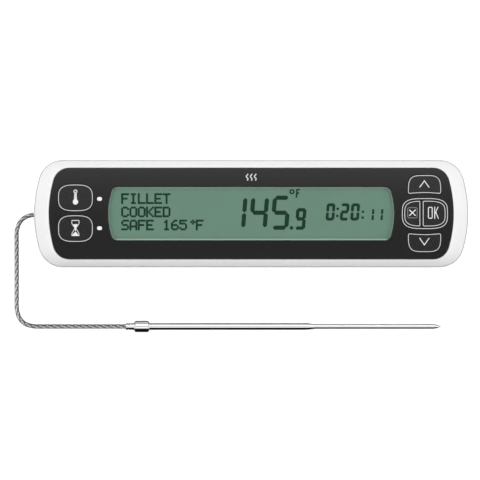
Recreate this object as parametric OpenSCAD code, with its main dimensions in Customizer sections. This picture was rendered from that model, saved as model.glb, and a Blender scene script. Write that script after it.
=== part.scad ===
// Leave-in meat thermometer: a long display unit lying on its back, with a steel probe on a braided lead.
// X runs along the unit, Y towards its top edge and Z out of its face.
// The origin is the centre of the flat back.

/* [Display unit] */
// Length of the display unit
unit_l = 235; // [234:0.5:238]
// Width of the display unit
unit_w = 58.4; // [58:0.2:60]
// Thickness from the flat back to the crest of the rim
unit_t = 25; // [25:0.5:28]
// Radius of the bowed ends
end_r = 70; // [67:1:76]
// Radius that blends the bowed ends into the long sides
corner_r = 13.5; // [13:0.5:14.5]
// Height of the joint between the rear cover and the front shell
split_z = 12; // [11.8:0.1:12.2]
// Thickness of the moulded floor of the rear cover
floor_t = 2; // [1.8:0.1:2.1]

/* [Face] */
// Length of the black face panel
panel_l = 218.5; // [217:0.5:219]
// Width of the black face panel
panel_w = 49.3; // [49:0.1:50]
// Length of the display window
window_l = 154.4; // [150:0.2:155]
// Width of the display window
window_w = 28.8; // [28:0.2:29]
// Gap around each key
key_gap = 0.25; // [0.2:0.05:0.35]
// How far each key stands proud of the panel
key_proud = 0.3; // [0.1:0.1:0.5]

/* [Back] */
// Length of the folding stand along its hinge
stand_l = 66; // [60:1:66]
// Thickness of the folding stand
stand_t = 3.2; // [2.8:0.1:3.4]
// Diameter of the stand's steel hinge pin
stand_pin_d = 2.5; // [2:0.1:2.6]
// Diameter of each back magnet
magnet_d = 10; // [8:0.5:10]
// Diameter of an AAA cell
cell_d = 10.5; // [10:0.1:10.5]
// Length of an AAA cell
cell_l = 44.5; // [44:0.1:44.5]

/* [Probe] */
// Length of the steel probe from the cord to the tip
probe_l = 171; // [160:1:180]
// Diameter of the probe's shaft
shaft_d = 3.75; // [3.5:0.05:4]
// Diameter of the thin needle end
needle_d = 2.6; // [2.4:0.1:2.8]
// Diameter of the collar behind the shaft
collar_d = 6.3; // [6:0.1:6.6]
// Diameter of the braided cord
cord_d = 2.7; // [2.5:0.1:2.9]
// Diameter of the plug's pin
plug_pin_d = 2.5; // [2.4:0.1:2.5]

/* [Hidden] */
$fn = 48;

// Outlines are [half length, half width, end radius, corner radius].
unit = [unit_l / 2, unit_w / 2, end_r, corner_r];
panel = [panel_l / 2, panel_w / 2, end_r - 3, 8.8];
window = [window_l / 2, window_w / 2, 40, 3.2];

// Heights, from the back to the face.
slice_t = 0.01;
recess_roof_z = 5.2;
jack_z = 5.5;
pocket_roof_z = 10.6;
bay_roof_z = 12.7;
board_z = 14;
board_t = 1.6;
board_top_z = board_z + board_t;
deck_z = unit_t - 4.6;
deck_t = 2;
panel_z = deck_z + deck_t;
panel_t = 2;
panel_top_z = panel_z + panel_t;
gasket_t = 0.6;
lcd_t = 2.4;
lcd_z = panel_z - gasket_t - lcd_t;
backlight_t = 2.2;
tray_floor_t = 0.8;
tray_floor_z = lcd_z - backlight_t - tray_floor_t;

// Walls of the two shells.
wall = 2.6;
tongue_h = 1.4;
tongue_out = 1.6;

// The keys: half sizes of each outline, how square it is, and where its centre is.
oval_key = [9.45, 7.25];
oval_power = 3;
arch_key = [9.05, 5.2];
arch_power = 3.9;
arch_dip = 0.6;
pair_key = [11.2, 7];
pair_power = 3.4;
left_key_x = -94.9;
thermometer_y = 8.5;
timer_y = -8.1;
pair_x = 93.8;
arrow_x = 93.6;
arrow_y = 15.65;
pair_cut = [-2.43, -1.24];
cancel_x = pair_x - 6.8;
ok_x = pair_x + 5;
key_travel = 0.5;
flange_t = 1.4;
flange_z = deck_z - 0.3 - flange_t;
flange_w = 0.6;
cap_h = panel_top_z + key_proud - flange_z;
switch_w = 6;
switch_t = 2.4;
switch_well_z = board_top_z + 0.3;
dome_h = 0.55;
plunger_r = 1.7;
plunger_gap = 0.2;
plunger_z = switch_well_z + dome_h + 0.05 + key_travel;
key_places = [
    [left_key_x, thermometer_y], [left_key_x, timer_y], [arrow_x, arrow_y],
    [arrow_x, -arrow_y], [cancel_x, 0], [ok_x, 0]
];
indicator_places = [[-81.9, thermometer_y - 0.6], [-81.9, timer_y + 0.2]];
indicator = [2.8, 2.3, 0.95];
key_color = [0.18, 0.18, 0.18];

// Inside the unit.
lcd = [78.8, 17];
ledge_z = lcd_z + 1.1;
zebra_y = 15.9;
zebra = [74, 0.8];
tray = [80.2, 18.6];
board = [109.8, 19];
screw_places = [for (x = [-80, 0, 80], y = [-22.5, 22.5]) [x, y]];
screw_r = 1.2;
screw_head = [2.4, 1.8];
screw_seat_z = 3;
screw_boss_r = [3.3, 3];
board_screw_r = 0.7;
board_screw_head = [1.6, 1.4];
board_screw_places = [[-107.6, -13], [-107.6, 13], [106.2, -16.5], [106.2, 16.5]];
buzzer_x = -60;
buzzer_r = 8.5;
buzzer_t = 5;
sound_hole_r = 0.7;
sound_ring_r = 3.6;

// The lead's pocket, jack and plug.
jack_y = -0.6;
pocket_end_x = -91.6;
pocket_w = 13;
jack_x = -90;
jack_l = 14.4;
jack_top_z = 9;
sleeve_l = 7.2;
ring_l = 0.6;
bushing_r = 3;
plug_x = -91.9;
plug_l = 16;
boot_x = -116;
jack_gap = 0.1;

// The stand and the battery bay.
recess = [34, 19.2];
stand_axis_y = 16.5;
stand_axis_z = 2.5;
stand_z = 0.3;
stand_free_y = -18.6;
barrel_r = 2.2;
notch = [9, 5];
pin_gap = 0.06;
bay = [41, 91.6];
bay_half_w = 12.1;
door_space = [37.8, 92.6];
door_axis = [39.4, 1.3];
door_half_w = 11.8;
door_z = 0.1;
door_t = 1.6;
door_pin_r = 0.8;
cell_y = 5.5;
cell_z = 7.3;
plate_t = 0.4;
plate_x = [bay[0] + plate_t + 0.2, bay[1] - plate_t - 0.2];
magnet_t = 2;
magnet_places = [for (x = [-100, 100], y = [-15, 15]) [x, y]];

// The probe lies on the collar and on the end of its needle, so its axis slopes down to the tip.
probe_x = -68;
probe_y = -61.1;
ferrule_l = 4.6;
collar_l = 8.2;
collar_end = ferrule_l + collar_l;
shaft_end = collar_end + 84.6;
taper_end = shaft_end + 5.9;
needle_end = probe_l - 4.4;
socket_l = 2;
slope = asin((collar_d - needle_d) / 2 / (needle_end - collar_end));
probe_rest_z = 0.02;
probe_z = collar_d / 2 + probe_rest_z + collar_end * sin(slope);

// The cord's centre line, from the boot of the plug round to the probe's ferrule.
cord_route = [
    [boot_x, jack_y, jack_z], [-119, -0.8, 5.4], [-122.5, -2, 5], [-125.5, -4.9, 4.4],
    [-127, -9.5, 3.7], [-127.1, -15, 2.9], [-127.1, -21, 2.1], [-127.1, -27, 1.6],
    [-127.1, -33, 1.4], [-127.1, -39, 1.4], [-127.1, -45, 1.4], [-127, -51.5, 1.4],
    [-125.6, -56.4, 1.4], [-122.3, -59.7, 1.4], [-117.5, -61, 1.4], [-111, -61.1, 1.4],
    [-105, -61.1, 1.4], [-99, -61.1, 1.4], [-93, -61.1, 1.5], [-87, -61.1, 1.9],
    [-81, -61.1, 2.5], [-74.5, -61.1, 3.1], [probe_x, probe_y, probe_z]
];

// ---- Outlines ----

// Points on an arc about c, leaving out skip points at each end
function arc(c, r, from, to, steps, skip = 0) = [
    for (i = [skip : steps - skip])
        let (t = from + (to - from) * i / steps)
        [c[0] + r * cos(t), c[1] + r * sin(t)]
];

// A long shape with straight sides, bowed ends and round corners
function bowed(s) =
    let (
        end_x = s[0] - s[2],
        cy = s[1] - s[3],
        cx = end_x + sqrt(pow(s[2] - s[3], 2) - cy * cy),
        bow = atan2(cy, cx - end_x)
    )
    concat(
        arc([end_x, 0], s[2], -bow, bow, 6, 1),
        arc([cx, cy], s[3], bow, 90, 6),
        arc([-cx, cy], s[3], 90, 180 - bow, 6),
        arc([-end_x, 0], s[2], 180 - bow, 180 + bow, 6, 1),
        arc([-cx, -cy], s[3], 180 + bow, 270, 6),
        arc([cx, -cy], s[3], 270, 360 - bow, 6)
    );

function inset(s, d) = [for (v = s) v - d];
function mix(s, t, k) = s + (t - s) * k;

// A rectangle of half sizes a and b with round corners
function rounded(a, b, r) = concat(
    arc([a - r, b - r], r, 0, 90, 4),
    arc([r - a, b - r], r, 90, 180, 4),
    arc([r - a, r - b], r, 180, 270, 4),
    arc([a - r, r - b], r, 270, 360, 4)
);

// A superellipse, the barrel shape of the keys
function barrel(half, power, steps = 40) = [
    for (i = [0 : steps - 1])
        let (c = cos(i * 360 / steps), s = sin(i * 360 / steps))
        [half[0] * sign(c) * pow(abs(c), 2 / power), half[1] * sign(s) * pow(abs(s), 2 / power)]
];

// The arrow key: an arched top that flares down to a slightly hollow bottom edge
function arched(half, steps = 18) = concat(
    [
        for (i = [0 : steps])
            let (c = cos(i * 180 / steps), s = sin(i * 180 / steps))
            [half[0] * sign(c) * pow(abs(c), 2 / arch_power), half[1] * (2 * pow(s, 2 / arch_power) - 1)]
    ],
    [for (i = [-3 : 3]) [half[0] * i / 4, arch_dip * (1 - i * i / 16) - half[1]]]
);

// ---- Shared solids ----

module plate(s, z, h) {
    translate([0, 0, z]) linear_extrude(h) polygon(bowed(s));
}

module slab(a, b, r, z, h) {
    translate([0, 0, z]) linear_extrude(h) polygon(rounded(a, b, r));
}

// A box from its two corners
module block(low, high) {
    translate(low) cube(high - low);
}

module at(places) {
    for (p = places) translate([p[0], p[1], 0]) children();
}

// A turned piece along +X from x, from points [distance, radius]
module turned_x(x, y, z, points) {
    translate([x, y, z]) rotate([0, 90, 0]) rotate_extrude() polygon([for (p = points) [p[1], p[0]]]);
}

// The same along the probe's own sloping axis
module on_probe(points) {
    translate([probe_x, probe_y, probe_z]) rotate([0, 90 + slope, 0])
        rotate_extrude() polygon([for (p = points) [p[1], p[0]]]);
}

// A tube swept along a path, with its rings turned to the path
module swept(path, r, sides, up) {
    last = len(path) - 1;
    rings = [
        for (i = [0 : last])
            let (
                along = path[min(i + 1, last)] - path[max(i - 1, 0)],
                across = cross(along, up),
                u = across / norm(across),
                v = cross(u, along) / norm(cross(u, along))
            )
            for (k = [0 : sides - 1]) path[i] + r * (u * cos((k + 0.5) * 360 / sides)
                + v * sin((k + 0.5) * 360 / sides))
    ];
    walls = [
        for (i = [0 : last - 1], k = [0 : sides - 1])
            let (a = i * sides + k, b = i * sides + (k + 1) % sides)
            [a, b, b + sides, a + sides]
    ];
    first_cap = [for (k = [0 : sides - 1]) sides - 1 - k];
    last_cap = [for (k = [0 : sides - 1]) last * sides + k];
    polyhedron(rings, concat(walls, [first_cap, last_cap]), 10);
}

// The keys' outlines, g larger all round; the two middle keys share one barrel, cut in two
module oval_prism(y, g, z, h) {
    translate([left_key_x, y, z]) linear_extrude(h) polygon(barrel(oval_key + [g, g], oval_power));
}

module arrow_prism(side, g, z, h) {
    translate([arrow_x, side * arrow_y, z]) scale([1, side, 1])
        linear_extrude(h) polygon(arched(arch_key + [g, g]));
}

module pair_prism(side, g, cut_g, z, h) {
    intersection() {
        translate([pair_x, 0, z]) linear_extrude(h) polygon(barrel(pair_key + [g, g], pair_power));
        if (side < 0)
            block([pair_x - 20, -20, z - 1], [pair_x + pair_cut[0] + cut_g, 20, z + h + 1]);
        else
            block([pair_x + pair_cut[1] - cut_g, -20, z - 1], [pair_x + 20, 20, z + h + 1]);
    }
}

module all_keys(g, z, h) {
    oval_prism(thermometer_y, g, z, h);
    oval_prism(timer_y, g, z, h);
    arrow_prism(1, g, z, h);
    arrow_prism(-1, g, z, h);
    pair_prism(-1, g, g, z, h);
    pair_prism(1, g, g, z, h);
}

// The two small windows beside the left keys
module indicator_holes(z, h) {
    at(indicator_places) slab(indicator[0] / 2 + 0.05, indicator[1] / 2 + 0.05, indicator[2], z, h);
}

// A screw's head with a cross in its underside, and its shank
module screw(head, shank_r, z, h) {
    difference() {
        translate([0, 0, z]) cylinder(r = head[0], h = head[1]);
        for (turn = [0, 90]) rotate([0, 0, turn])
            block([-0.62 * head[0], -0.12 * head[0], z - 1],
                [0.62 * head[0], 0.12 * head[0], z + head[1] / 2]);
    }
    translate([0, 0, z + head[1] - 0.1]) cylinder(r = shank_r, h = h);
}

// ---- Front half ----

module front_form() {
    crest = unit_t - slice_t;
    hull() {
        plate(unit, split_z, slice_t);
        plate(unit, split_z + 6, slice_t);
        plate(mix(unit, panel, 0.08), crest - 5, slice_t);
        plate(mix(unit, panel, 0.25), crest - 3, slice_t);
        plate(mix(unit, panel, 0.5), crest - 1.5, slice_t);
        plate(mix(unit, panel, 0.76), crest - 0.5, slice_t);
        plate(mix(unit, panel, 0.93), crest, slice_t);
    }
}

module front_shell() {
    color("white") difference() {
        union() {
            difference() {
                front_form();
                plate(inset(unit, wall), split_z - 1, deck_z - split_z + 1);
                plate(inset(unit, tongue_out - 0.1), split_z - 1, tongue_h + 1.2);
                plate(inset(panel, -0.1), panel_z, 5);
            }
            at(screw_places) translate([0, 0, split_z])
                cylinder(r = screw_boss_r[1], h = deck_z - split_z + 0.5);
            at(board_screw_places) translate([0, 0, board_top_z])
                cylinder(r = 1.8, h = deck_z - board_top_z + 0.5);
        }
        slab(lcd[0] + 0.4, lcd[1] + 0.3, 1, deck_z - 1, 5);
        all_keys(key_gap, deck_z - 1, 5);
        indicator_holes(deck_z - 1, 5);
        at(screw_places) translate([0, 0, split_z - 1]) cylinder(r = screw_r, h = 4);
        at(board_screw_places) translate([0, 0, board_top_z - 1]) cylinder(r = board_screw_r, h = 4);
    }
}

module face_panel() {
    color([0.16, 0.16, 0.16]) difference() {
        plate(panel, panel_z, panel_t);
        plate(inset(window, -0.1), panel_z - 1, panel_t + 2);
        plate(inset(window, -1.3), panel_z - 1, 1.9);
        all_keys(key_gap, panel_z - 1, panel_t + 2);
        indicator_holes(panel_z - 1, panel_t + 2);
    }
}

module display_lens() {
    color([0.75, 0.85, 0.8, 0.4]) {
        plate(inset(window, -1.2), panel_z, 0.8);
        plate(window, panel_z + 0.4, panel_t - 0.6);
    }
}

module lcd_gasket() {
    color("dimgray") difference() {
        slab(lcd[0] - 0.4, lcd[1] - 0.2, 1, panel_z - gasket_t, gasket_t);
        plate(window, panel_z - gasket_t - 1, gasket_t + 2);
    }
}

module lcd_cell() {
    color([0.44, 0.55, 0.49]) difference() {
        slab(lcd[0], lcd[1], 0.4, lcd_z, lcd_t);
        // the rear glass is narrower, which leaves the contact ledges
        for (side = [-1, 1])
            block([-lcd[0] - 1, side * zebra_y - 1.3, lcd_z - 1],
                [lcd[0] + 1, side * zebra_y + 1.3, ledge_z]);
    }
}

module backlight_panel() {
    color([0.93, 0.95, 0.9]) slab(lcd[0] - 1.6, 14.3, 0.4, lcd_z - backlight_t, backlight_t);
}

module backlight_leds() {
    color("gold") for (y = [-8, 0, 8])
        block([-lcd[0] + 0.2, y - 1.4, lcd_z - 1.8], [-lcd[0] + 1.4, y + 1.4, lcd_z - 0.4]);
}

module lcd_tray() {
    color("ivory") difference() {
        slab(tray[0], tray[1], 1.2, board_top_z, deck_z - 0.3 - board_top_z);
        slab(lcd[0] + 0.1, lcd[1] + 0.1, 0.5, tray_floor_z + tray_floor_t, 10);
        slab(lcd[0] - 1.4, lcd[1] - 0.4, 1, board_top_z - 1, tray_floor_z - board_top_z + 1);
        for (side = [-1, 1])
            block([-zebra[0] - 0.1, side * zebra_y - zebra[1] - 0.1, board_top_z - 1],
                [zebra[0] + 0.1, side * zebra_y + zebra[1] + 0.1, lcd_z]);
    }
}

module zebra_strips() {
    color("hotpink") for (side = [-1, 1])
        block([-zebra[0], side * zebra_y - zebra[1], board_top_z],
            [zebra[0], side * zebra_y + zebra[1], ledge_z]);
}

module main_board() {
    color("darkgreen") difference() {
        slab(board[0], board[1], 5, board_z, board_t);
        at(board_screw_places) translate([0, 0, board_z - 1]) cylinder(r = 0.9, h = board_t + 2);
    }
}

module controller_chip() {
    color([0.12, 0.12, 0.12]) translate([10, 0, 0]) slab(6, 6, 0.4, board_z - 1.2, 1.2);
}

module board_components() {
    color("tan") {
        for (x = [-30, -22, 24]) translate([x, 9, board_z - 3]) cylinder(r = 2.2, h = 3);
        for (x = [-32 : 7 : -4], y = [-12, -6]) block([x, y, board_z - 0.9], [x + 2, y + 1.2, board_z]);
        block([22, -4, board_z - 3.4], [33, -0.6, board_z]);
    }
}

module board_screws() {
    color("silver") at(board_screw_places)
        screw(board_screw_head, board_screw_r, board_z - board_screw_head[1], 4.4);
}

module switch_housings() {
    color([0.2, 0.2, 0.22]) at(key_places) difference() {
        slab(switch_w / 2, switch_w / 2, 0.5, board_top_z, switch_t);
        translate([0, 0, switch_well_z]) cylinder(r = plunger_r + plunger_gap, h = switch_t);
    }
}

module switch_domes() {
    sheet_t = 0.14;
    color("silver") at(key_places) translate([0, 0, switch_well_z]) rotate_extrude() polygon([
        [0, dome_h - sheet_t], [1.1, dome_h - sheet_t - 0.1], [plunger_r, 0],
        [plunger_r, sheet_t], [1.1, dome_h - 0.1], [0, dome_h]
    ]);
}

module indicator_lenses() {
    color([0.95, 0.95, 0.9]) at(indicator_places)
        slab(indicator[0] / 2, indicator[1] / 2, indicator[2] - 0.05, board_top_z + 1.4,
            panel_top_z - board_top_z - 1.4);
}

module indicator_leds() {
    color("gold") at(indicator_places) slab(0.8, 0.6, 0.2, board_top_z, 0.9);
}

// ---- Sound and jack ----

module buzzer() {
    color([0.15, 0.15, 0.15]) translate([buzzer_x, 0, board_z - buzzer_t]) difference() {
        cylinder(r = buzzer_r, h = buzzer_t);
        translate([0, 0, -1]) cylinder(r = 1.5, h = 3);
    }
}

module jack_housing() {
    color([0.15, 0.15, 0.15]) difference() {
        block([jack_x, jack_y - 4.4, floor_t], [jack_x + jack_l, jack_y + 4.4, jack_top_z]);
        translate([jack_x - 1, jack_y, jack_z]) rotate([0, 90, 0])
            cylinder(r = plug_pin_d / 2 + jack_gap, h = jack_l - 0.6);
        // the slot that holds the contact spring above the plug's tip
        block([jack_x + 4, jack_y - 0.8, jack_z + 1], [jack_x + jack_l - 2, jack_y + 0.8, jack_z + 2.6]);
    }
}

module jack_bushing() {
    color("silver") turned_x(pocket_end_x, jack_y, jack_z, [
        [0, plug_pin_d / 2 + jack_gap], [0, bushing_r], [jack_x - pocket_end_x, bushing_r],
        [jack_x - pocket_end_x, plug_pin_d / 2 + jack_gap]
    ]);
}

module jack_contact() {
    color("gold")
        block([jack_x + 5, jack_y - 0.6, jack_z + 1.6], [jack_x + jack_l - 2, jack_y + 0.6, jack_z + 1.9]);
}

module jack_terminals() {
    color("gold") for (x = [3, 7.5, 12])
        block([jack_x + x - 0.4, jack_y - 0.3, jack_top_z], [jack_x + x + 0.4, jack_y + 0.3, board_z]);
}

// ---- Rear half ----

module rear_form() {
    hull() {
        plate(inset(unit, 3), 0, slice_t);
        plate(inset(unit, 1.8), 0.8, slice_t);
        plate(inset(unit, 0.9), 2.5, slice_t);
        plate(inset(unit, 0.5), 6, slice_t);
        plate(inset(unit, 0.3), split_z - slice_t, slice_t);
    }
}

module rear_walls() {
    difference() {
        rear_form();
        plate(inset(unit, wall), floor_t, split_z);
    }
    // the tongue that centres the front shell
    difference() {
        plate(inset(unit, tongue_out), split_z - 1, tongue_h + 1);
        plate(inset(unit, wall), split_z - 2, tongue_h + 3);
    }
    // the stand's recess, the battery bay and the lead's pocket
    block([-recess[0] - 2.2, -recess[1] - 1.6, 1], [recess[0] + 2.2, recess[1] + 1.6, recess_roof_z + 1.5]);
    block([door_space[0] - 1.2, -bay_half_w - 1.6, 1], [door_space[1] + 1, bay_half_w + 1.6, bay_roof_z + 1]);
    block([wall - unit[0] - 0.5, jack_y - pocket_w / 2 - 1.6, 1],
        [jack_x, jack_y + pocket_w / 2 + 1.6, split_z]);
    at(screw_places) translate([0, 0, 1]) cylinder(r = screw_boss_r[0], h = split_z - 1);
    at(magnet_places) translate([0, 0, 1]) cylinder(r = magnet_d / 2 + 1.5, h = magnet_t + 0.6);
}

module rear_cover() {
    color("whitesmoke") difference() {
        rear_walls();
        // recess and pin bores of the stand
        block([-recess[0], -recess[1], -1], [recess[0], recess[1], recess_roof_z]);
        translate([-recess[0] - 2, stand_axis_y, stand_axis_z]) rotate([0, 90, 0])
            cylinder(r = stand_pin_d / 2 + pin_gap, h = 2 * recess[0] + 4);
        // battery bay, the door's seat and its pin bores
        block([bay[0], -bay_half_w, -1], [bay[1], bay_half_w, bay_roof_z]);
        block([door_space[0], -bay_half_w, -1], [door_space[1], bay_half_w, 3]);
        translate([door_axis[0], -bay_half_w - 1, door_axis[1]]) rotate([-90, 0, 0])
            cylinder(r = door_pin_r + pin_gap, h = 2 * bay_half_w + 2);
        for (side = [-1, 1])
            block([bay[0] + 0.1, side * cell_y - 1.6, bay_roof_z - 1],
                [bay[0] + 0.9, side * cell_y + 1.6, bay_roof_z + 2]);
        // the lead's pocket and the hole for the jack's bushing
        block([-unit[0] - 1, jack_y - pocket_w / 2, -1],
            [pocket_end_x, jack_y + pocket_w / 2, pocket_roof_z]);
        translate([pocket_end_x - 1, jack_y, jack_z]) rotate([0, 90, 0]) cylinder(r = bushing_r, h = 4);
        at(screw_places) translate([0, 0, -1]) cylinder(r = screw_head[0] + 0.2, h = screw_seat_z + 1);
        at(screw_places) translate([0, 0, 2]) cylinder(r = screw_r + 0.2, h = split_z);
        at(magnet_places) translate([0, 0, -1]) cylinder(r = magnet_d / 2 + 0.05, h = magnet_t + 1);
        // sound holes under the buzzer
        translate([buzzer_x, 0, -1]) {
            cylinder(r = sound_hole_r, h = floor_t + 2);
            for (a = [0 : 60 : 300]) rotate([0, 0, a]) translate([sound_ring_r, 0, 0])
                cylinder(r = sound_hole_r, h = floor_t + 2);
        }
    }
}

module back_magnets() {
    color("silver") at(magnet_places) translate([0, 0, 0.1]) cylinder(r = magnet_d / 2, h = magnet_t - 0.1);
}

module battery_cells() {
    for (side = [-1, 1]) translate([side > 0 ? plate_x[1] : plate_x[0], side * cell_y, cell_z])
        rotate([0, -90 * side, 0]) {
            color("gold") cylinder(r = 1.9, h = 1);
            color([0.2, 0.2, 0.2]) translate([0, 0, 1]) cylinder(r = cell_d / 2, h = cell_l - 1);
        }
}

// One conical contact spring, from the plate out to the cell's flat end
function spring_path(length, turns, steps) = [
    for (i = [0 : steps])
        let (k = i / steps, r = 3.4 - 1.6 * k, t = 360 * turns * k)
        [0.25 + (length - 0.5) * k, r * cos(t), r * sin(t)]
];

module battery_springs() {
    gap = plate_x[1] - plate_x[0] - cell_l;
    color("silver") {
        translate([plate_x[0], cell_y, cell_z]) swept(spring_path(gap, 3, 42), 0.24, 6, [1, 0, 0]);
        translate([plate_x[1], -cell_y, cell_z]) rotate([0, 0, 180])
            swept(spring_path(gap, 3, 42), 0.24, 6, [1, 0, 0]);
    }
}

module battery_plates() {
    color("silver") {
        block([plate_x[1], -10, cell_z - 4.1], [plate_x[1] + plate_t, 10, cell_z + 4.1]);
        // the two left plates have tags up to the board
        for (side = [-1, 1]) {
            block([plate_x[0] - plate_t, side * cell_y - 4.4, cell_z - 4.1],
                [plate_x[0], side * cell_y + 4.4, cell_z + 4.1]);
            block([plate_x[0] - plate_t, side * cell_y - 1.5, cell_z + 4],
                [plate_x[0], side * cell_y + 1.5, board_z]);
        }
    }
}

module housing_screws() {
    color("silver") at(screw_places) screw(screw_head, screw_r, screw_seat_z - screw_head[1], split_z);
}

// ---- Keys ----

module thermometer_key() {
    color(key_color) {
        oval_prism(thermometer_y, 0, flange_z, cap_h);
        oval_prism(thermometer_y, flange_w, flange_z, flange_t);
    }
}

module timer_key() {
    color(key_color) {
        oval_prism(timer_y, 0, flange_z, cap_h);
        oval_prism(timer_y, flange_w, flange_z, flange_t);
    }
}

module arrow_key(side) {
    color(key_color) {
        arrow_prism(side, 0, flange_z, cap_h);
        arrow_prism(side, flange_w, flange_z, flange_t);
    }
}

module up_key() {
    arrow_key(1);
}

module down_key() {
    arrow_key(-1);
}

module pair_half_key(side) {
    color(key_color) {
        pair_prism(side, 0, 0, flange_z, cap_h);
        pair_prism(side, flange_w, 0.1, flange_z, flange_t);
    }
}

module cancel_key() {
    pair_half_key(-1);
}

module ok_key() {
    pair_half_key(1);
}

module plunger(place) {
    color("tan") translate([place[0], place[1], plunger_z]) cylinder(r = plunger_r, h = flange_z - plunger_z);
}

module thermometer_plunger() {
    plunger(key_places[0]);
}

module timer_plunger() {
    plunger(key_places[1]);
}

module up_plunger() {
    plunger(key_places[2]);
}

module down_plunger() {
    plunger(key_places[3]);
}

module cancel_plunger() {
    plunger(key_places[4]);
}

module ok_plunger() {
    plunger(key_places[5]);
}

// ---- Stand and battery door ----

module stand_leg() {
    half = stand_l / 2;
    color("gainsboro") difference() {
        union() {
            translate([0, (stand_axis_y + stand_free_y) / 2, 0])
                slab(half, (stand_axis_y - stand_free_y) / 2, 1, stand_z, stand_t);
            translate([-half, stand_axis_y, stand_axis_z]) rotate([0, 90, 0])
                cylinder(r = barrel_r, h = stand_l);
        }
        translate([-half - 1, stand_axis_y, stand_axis_z]) rotate([0, 90, 0])
            cylinder(r = stand_pin_d / 2, h = stand_l + 2);
        // pockets on the inner face leave stiffening ribs
        for (x = [-20.5, 0, 20.5])
            translate([x, -1.5, 0]) slab(8.6, 11, 1, stand_z + 1.4, stand_t);
        // notch for a fingertip, and grooves for the rubber feet each side of it
        translate([0, stand_free_y, 0]) slab(notch[0], notch[1], 2.5, -1, stand_t + 3);
        stand_feet(0, 1.2);
    }
}

// The two rubber strips at the stand's free end
module stand_feet(z, h) {
    for (side = [-1, 1])
        translate([side * 19, stand_free_y + 2.2, 0]) slab(8, 1.2, 0.4, z, h);
}

module stand_pin() {
    color("silver") translate([-recess[0] - 1.8, stand_axis_y, stand_axis_z]) rotate([0, 90, 0])
        cylinder(r = stand_pin_d / 2, h = 2 * recess[0] + 3.6);
}

module stand_foot_pads() {
    color("dimgray") stand_feet(0.1, 1.1);
}

module battery_door() {
    end_x = door_space[1] - 0.4;
    color("whitesmoke") difference() {
        union() {
            block([door_axis[0], -door_half_w, door_z], [end_x, door_half_w, door_z + door_t]);
            translate([door_axis[0], -door_half_w, door_axis[1]]) rotate([-90, 0, 0])
                cylinder(r = door_axis[1] - door_z, h = 2 * door_half_w);
            // hinge pins and the latch tongue
            translate([door_axis[0], -door_half_w - 1, door_axis[1]]) rotate([-90, 0, 0])
                cylinder(r = door_pin_r, h = 2 * door_half_w + 2);
            block([bay[1] - 1.6, -4, 1], [bay[1] - 0.5, 4, 2.8]);
        }
        // grip grooves near the latch
        for (x = [4, 6, 8]) block([end_x - x - 0.5, -6, -1], [end_x - x + 0.5, 6, door_z + 0.5]);
    }
}

// ---- Plug ----

module plug_body() {
    color([0.2, 0.2, 0.2]) turned_x(plug_x - plug_l, jack_y, jack_z, [
        [0, 0], [0, 2.9], [0.8, 3.4], [plug_l - 0.6, 3.4], [plug_l, 2.8], [plug_l, 0]
    ]);
}

module plug_boot() {
    color([0.2, 0.2, 0.2]) turned_x(boot_x, jack_y, jack_z, [
        [0, 0], [0, 1.8], [plug_x - plug_l - boot_x, 2.6], [plug_x - plug_l - boot_x, 0]
    ]);
}

module plug_sleeve() {
    r = plug_pin_d / 2;
    color("silver") turned_x(plug_x, jack_y, jack_z, [[0, 0], [0, r], [sleeve_l, r], [sleeve_l, 0]]);
}

module plug_insulator() {
    r = plug_pin_d / 2;
    color("black") turned_x(plug_x + sleeve_l, jack_y, jack_z, [[0, 0], [0, r], [ring_l, r], [ring_l, 0]]);
}

module plug_tip() {
    tip_r = plug_pin_d / 2;
    color("silver") turned_x(plug_x + sleeve_l + ring_l, jack_y, jack_z, [
        [0, 0], [0, tip_r], [0.8, tip_r], [1.3, tip_r - 0.4], [2, tip_r - 0.1], [3.2, 0.4], [3.2, 0]
    ]);
}

// ---- Cord and probe ----

module probe_cord() {
    color("silver") swept(cord_route, cord_d / 2, 8, [0, 0, 1]);
}

module probe_ferrule() {
    r = shaft_d / 2;
    color("silver") on_probe([
        [0, 0.5], [0, r - 0.3], [0.3, r], [1.3, r], [1.7, r - 0.3], [2.1, r], [ferrule_l, r], [ferrule_l, 0.5]
    ]);
}

module probe_collar() {
    r = collar_d / 2;
    color("silver") on_probe([
        [ferrule_l, 0.5], [ferrule_l, r - 0.7], [ferrule_l + 0.7, r], [collar_end - 0.7, r],
        [collar_end, r - 0.7], [collar_end, 1.5], [ferrule_l + socket_l, 1.5], [ferrule_l + socket_l, 0.5]
    ]);
}

module probe_tube() {
    r = shaft_d / 2;
    n = needle_d / 2;
    color("silver") on_probe([
        [ferrule_l + socket_l, 1.2], [ferrule_l + socket_l, 1.5], [collar_end, 1.5], [collar_end, r],
        [shaft_end, r], [taper_end, n], [needle_end, n], [needle_end + 2.2, n * 0.62], [probe_l - 0.4, 0.22],
        [probe_l, 0], [needle_end, 0], [needle_end - 1, n - 0.35], [taper_end, n - 0.35], [shaft_end, 1.2]
    ]);
}

module thermistor() {
    color("black") on_probe([
        [needle_end - 8, 0], [needle_end - 8, 0.8], [needle_end - 4, 0.8], [needle_end - 4, 0]
    ]);
}

module thermistor_leads() {
    color("orangered") for (side = [-1, 1])
        translate([probe_x, probe_y, probe_z]) rotate([0, 90 + slope, 0]) translate([0, side * 0.26, 0.4])
            cylinder(r = 0.2, h = needle_end - 8.4, $fn = 16);
}

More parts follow.
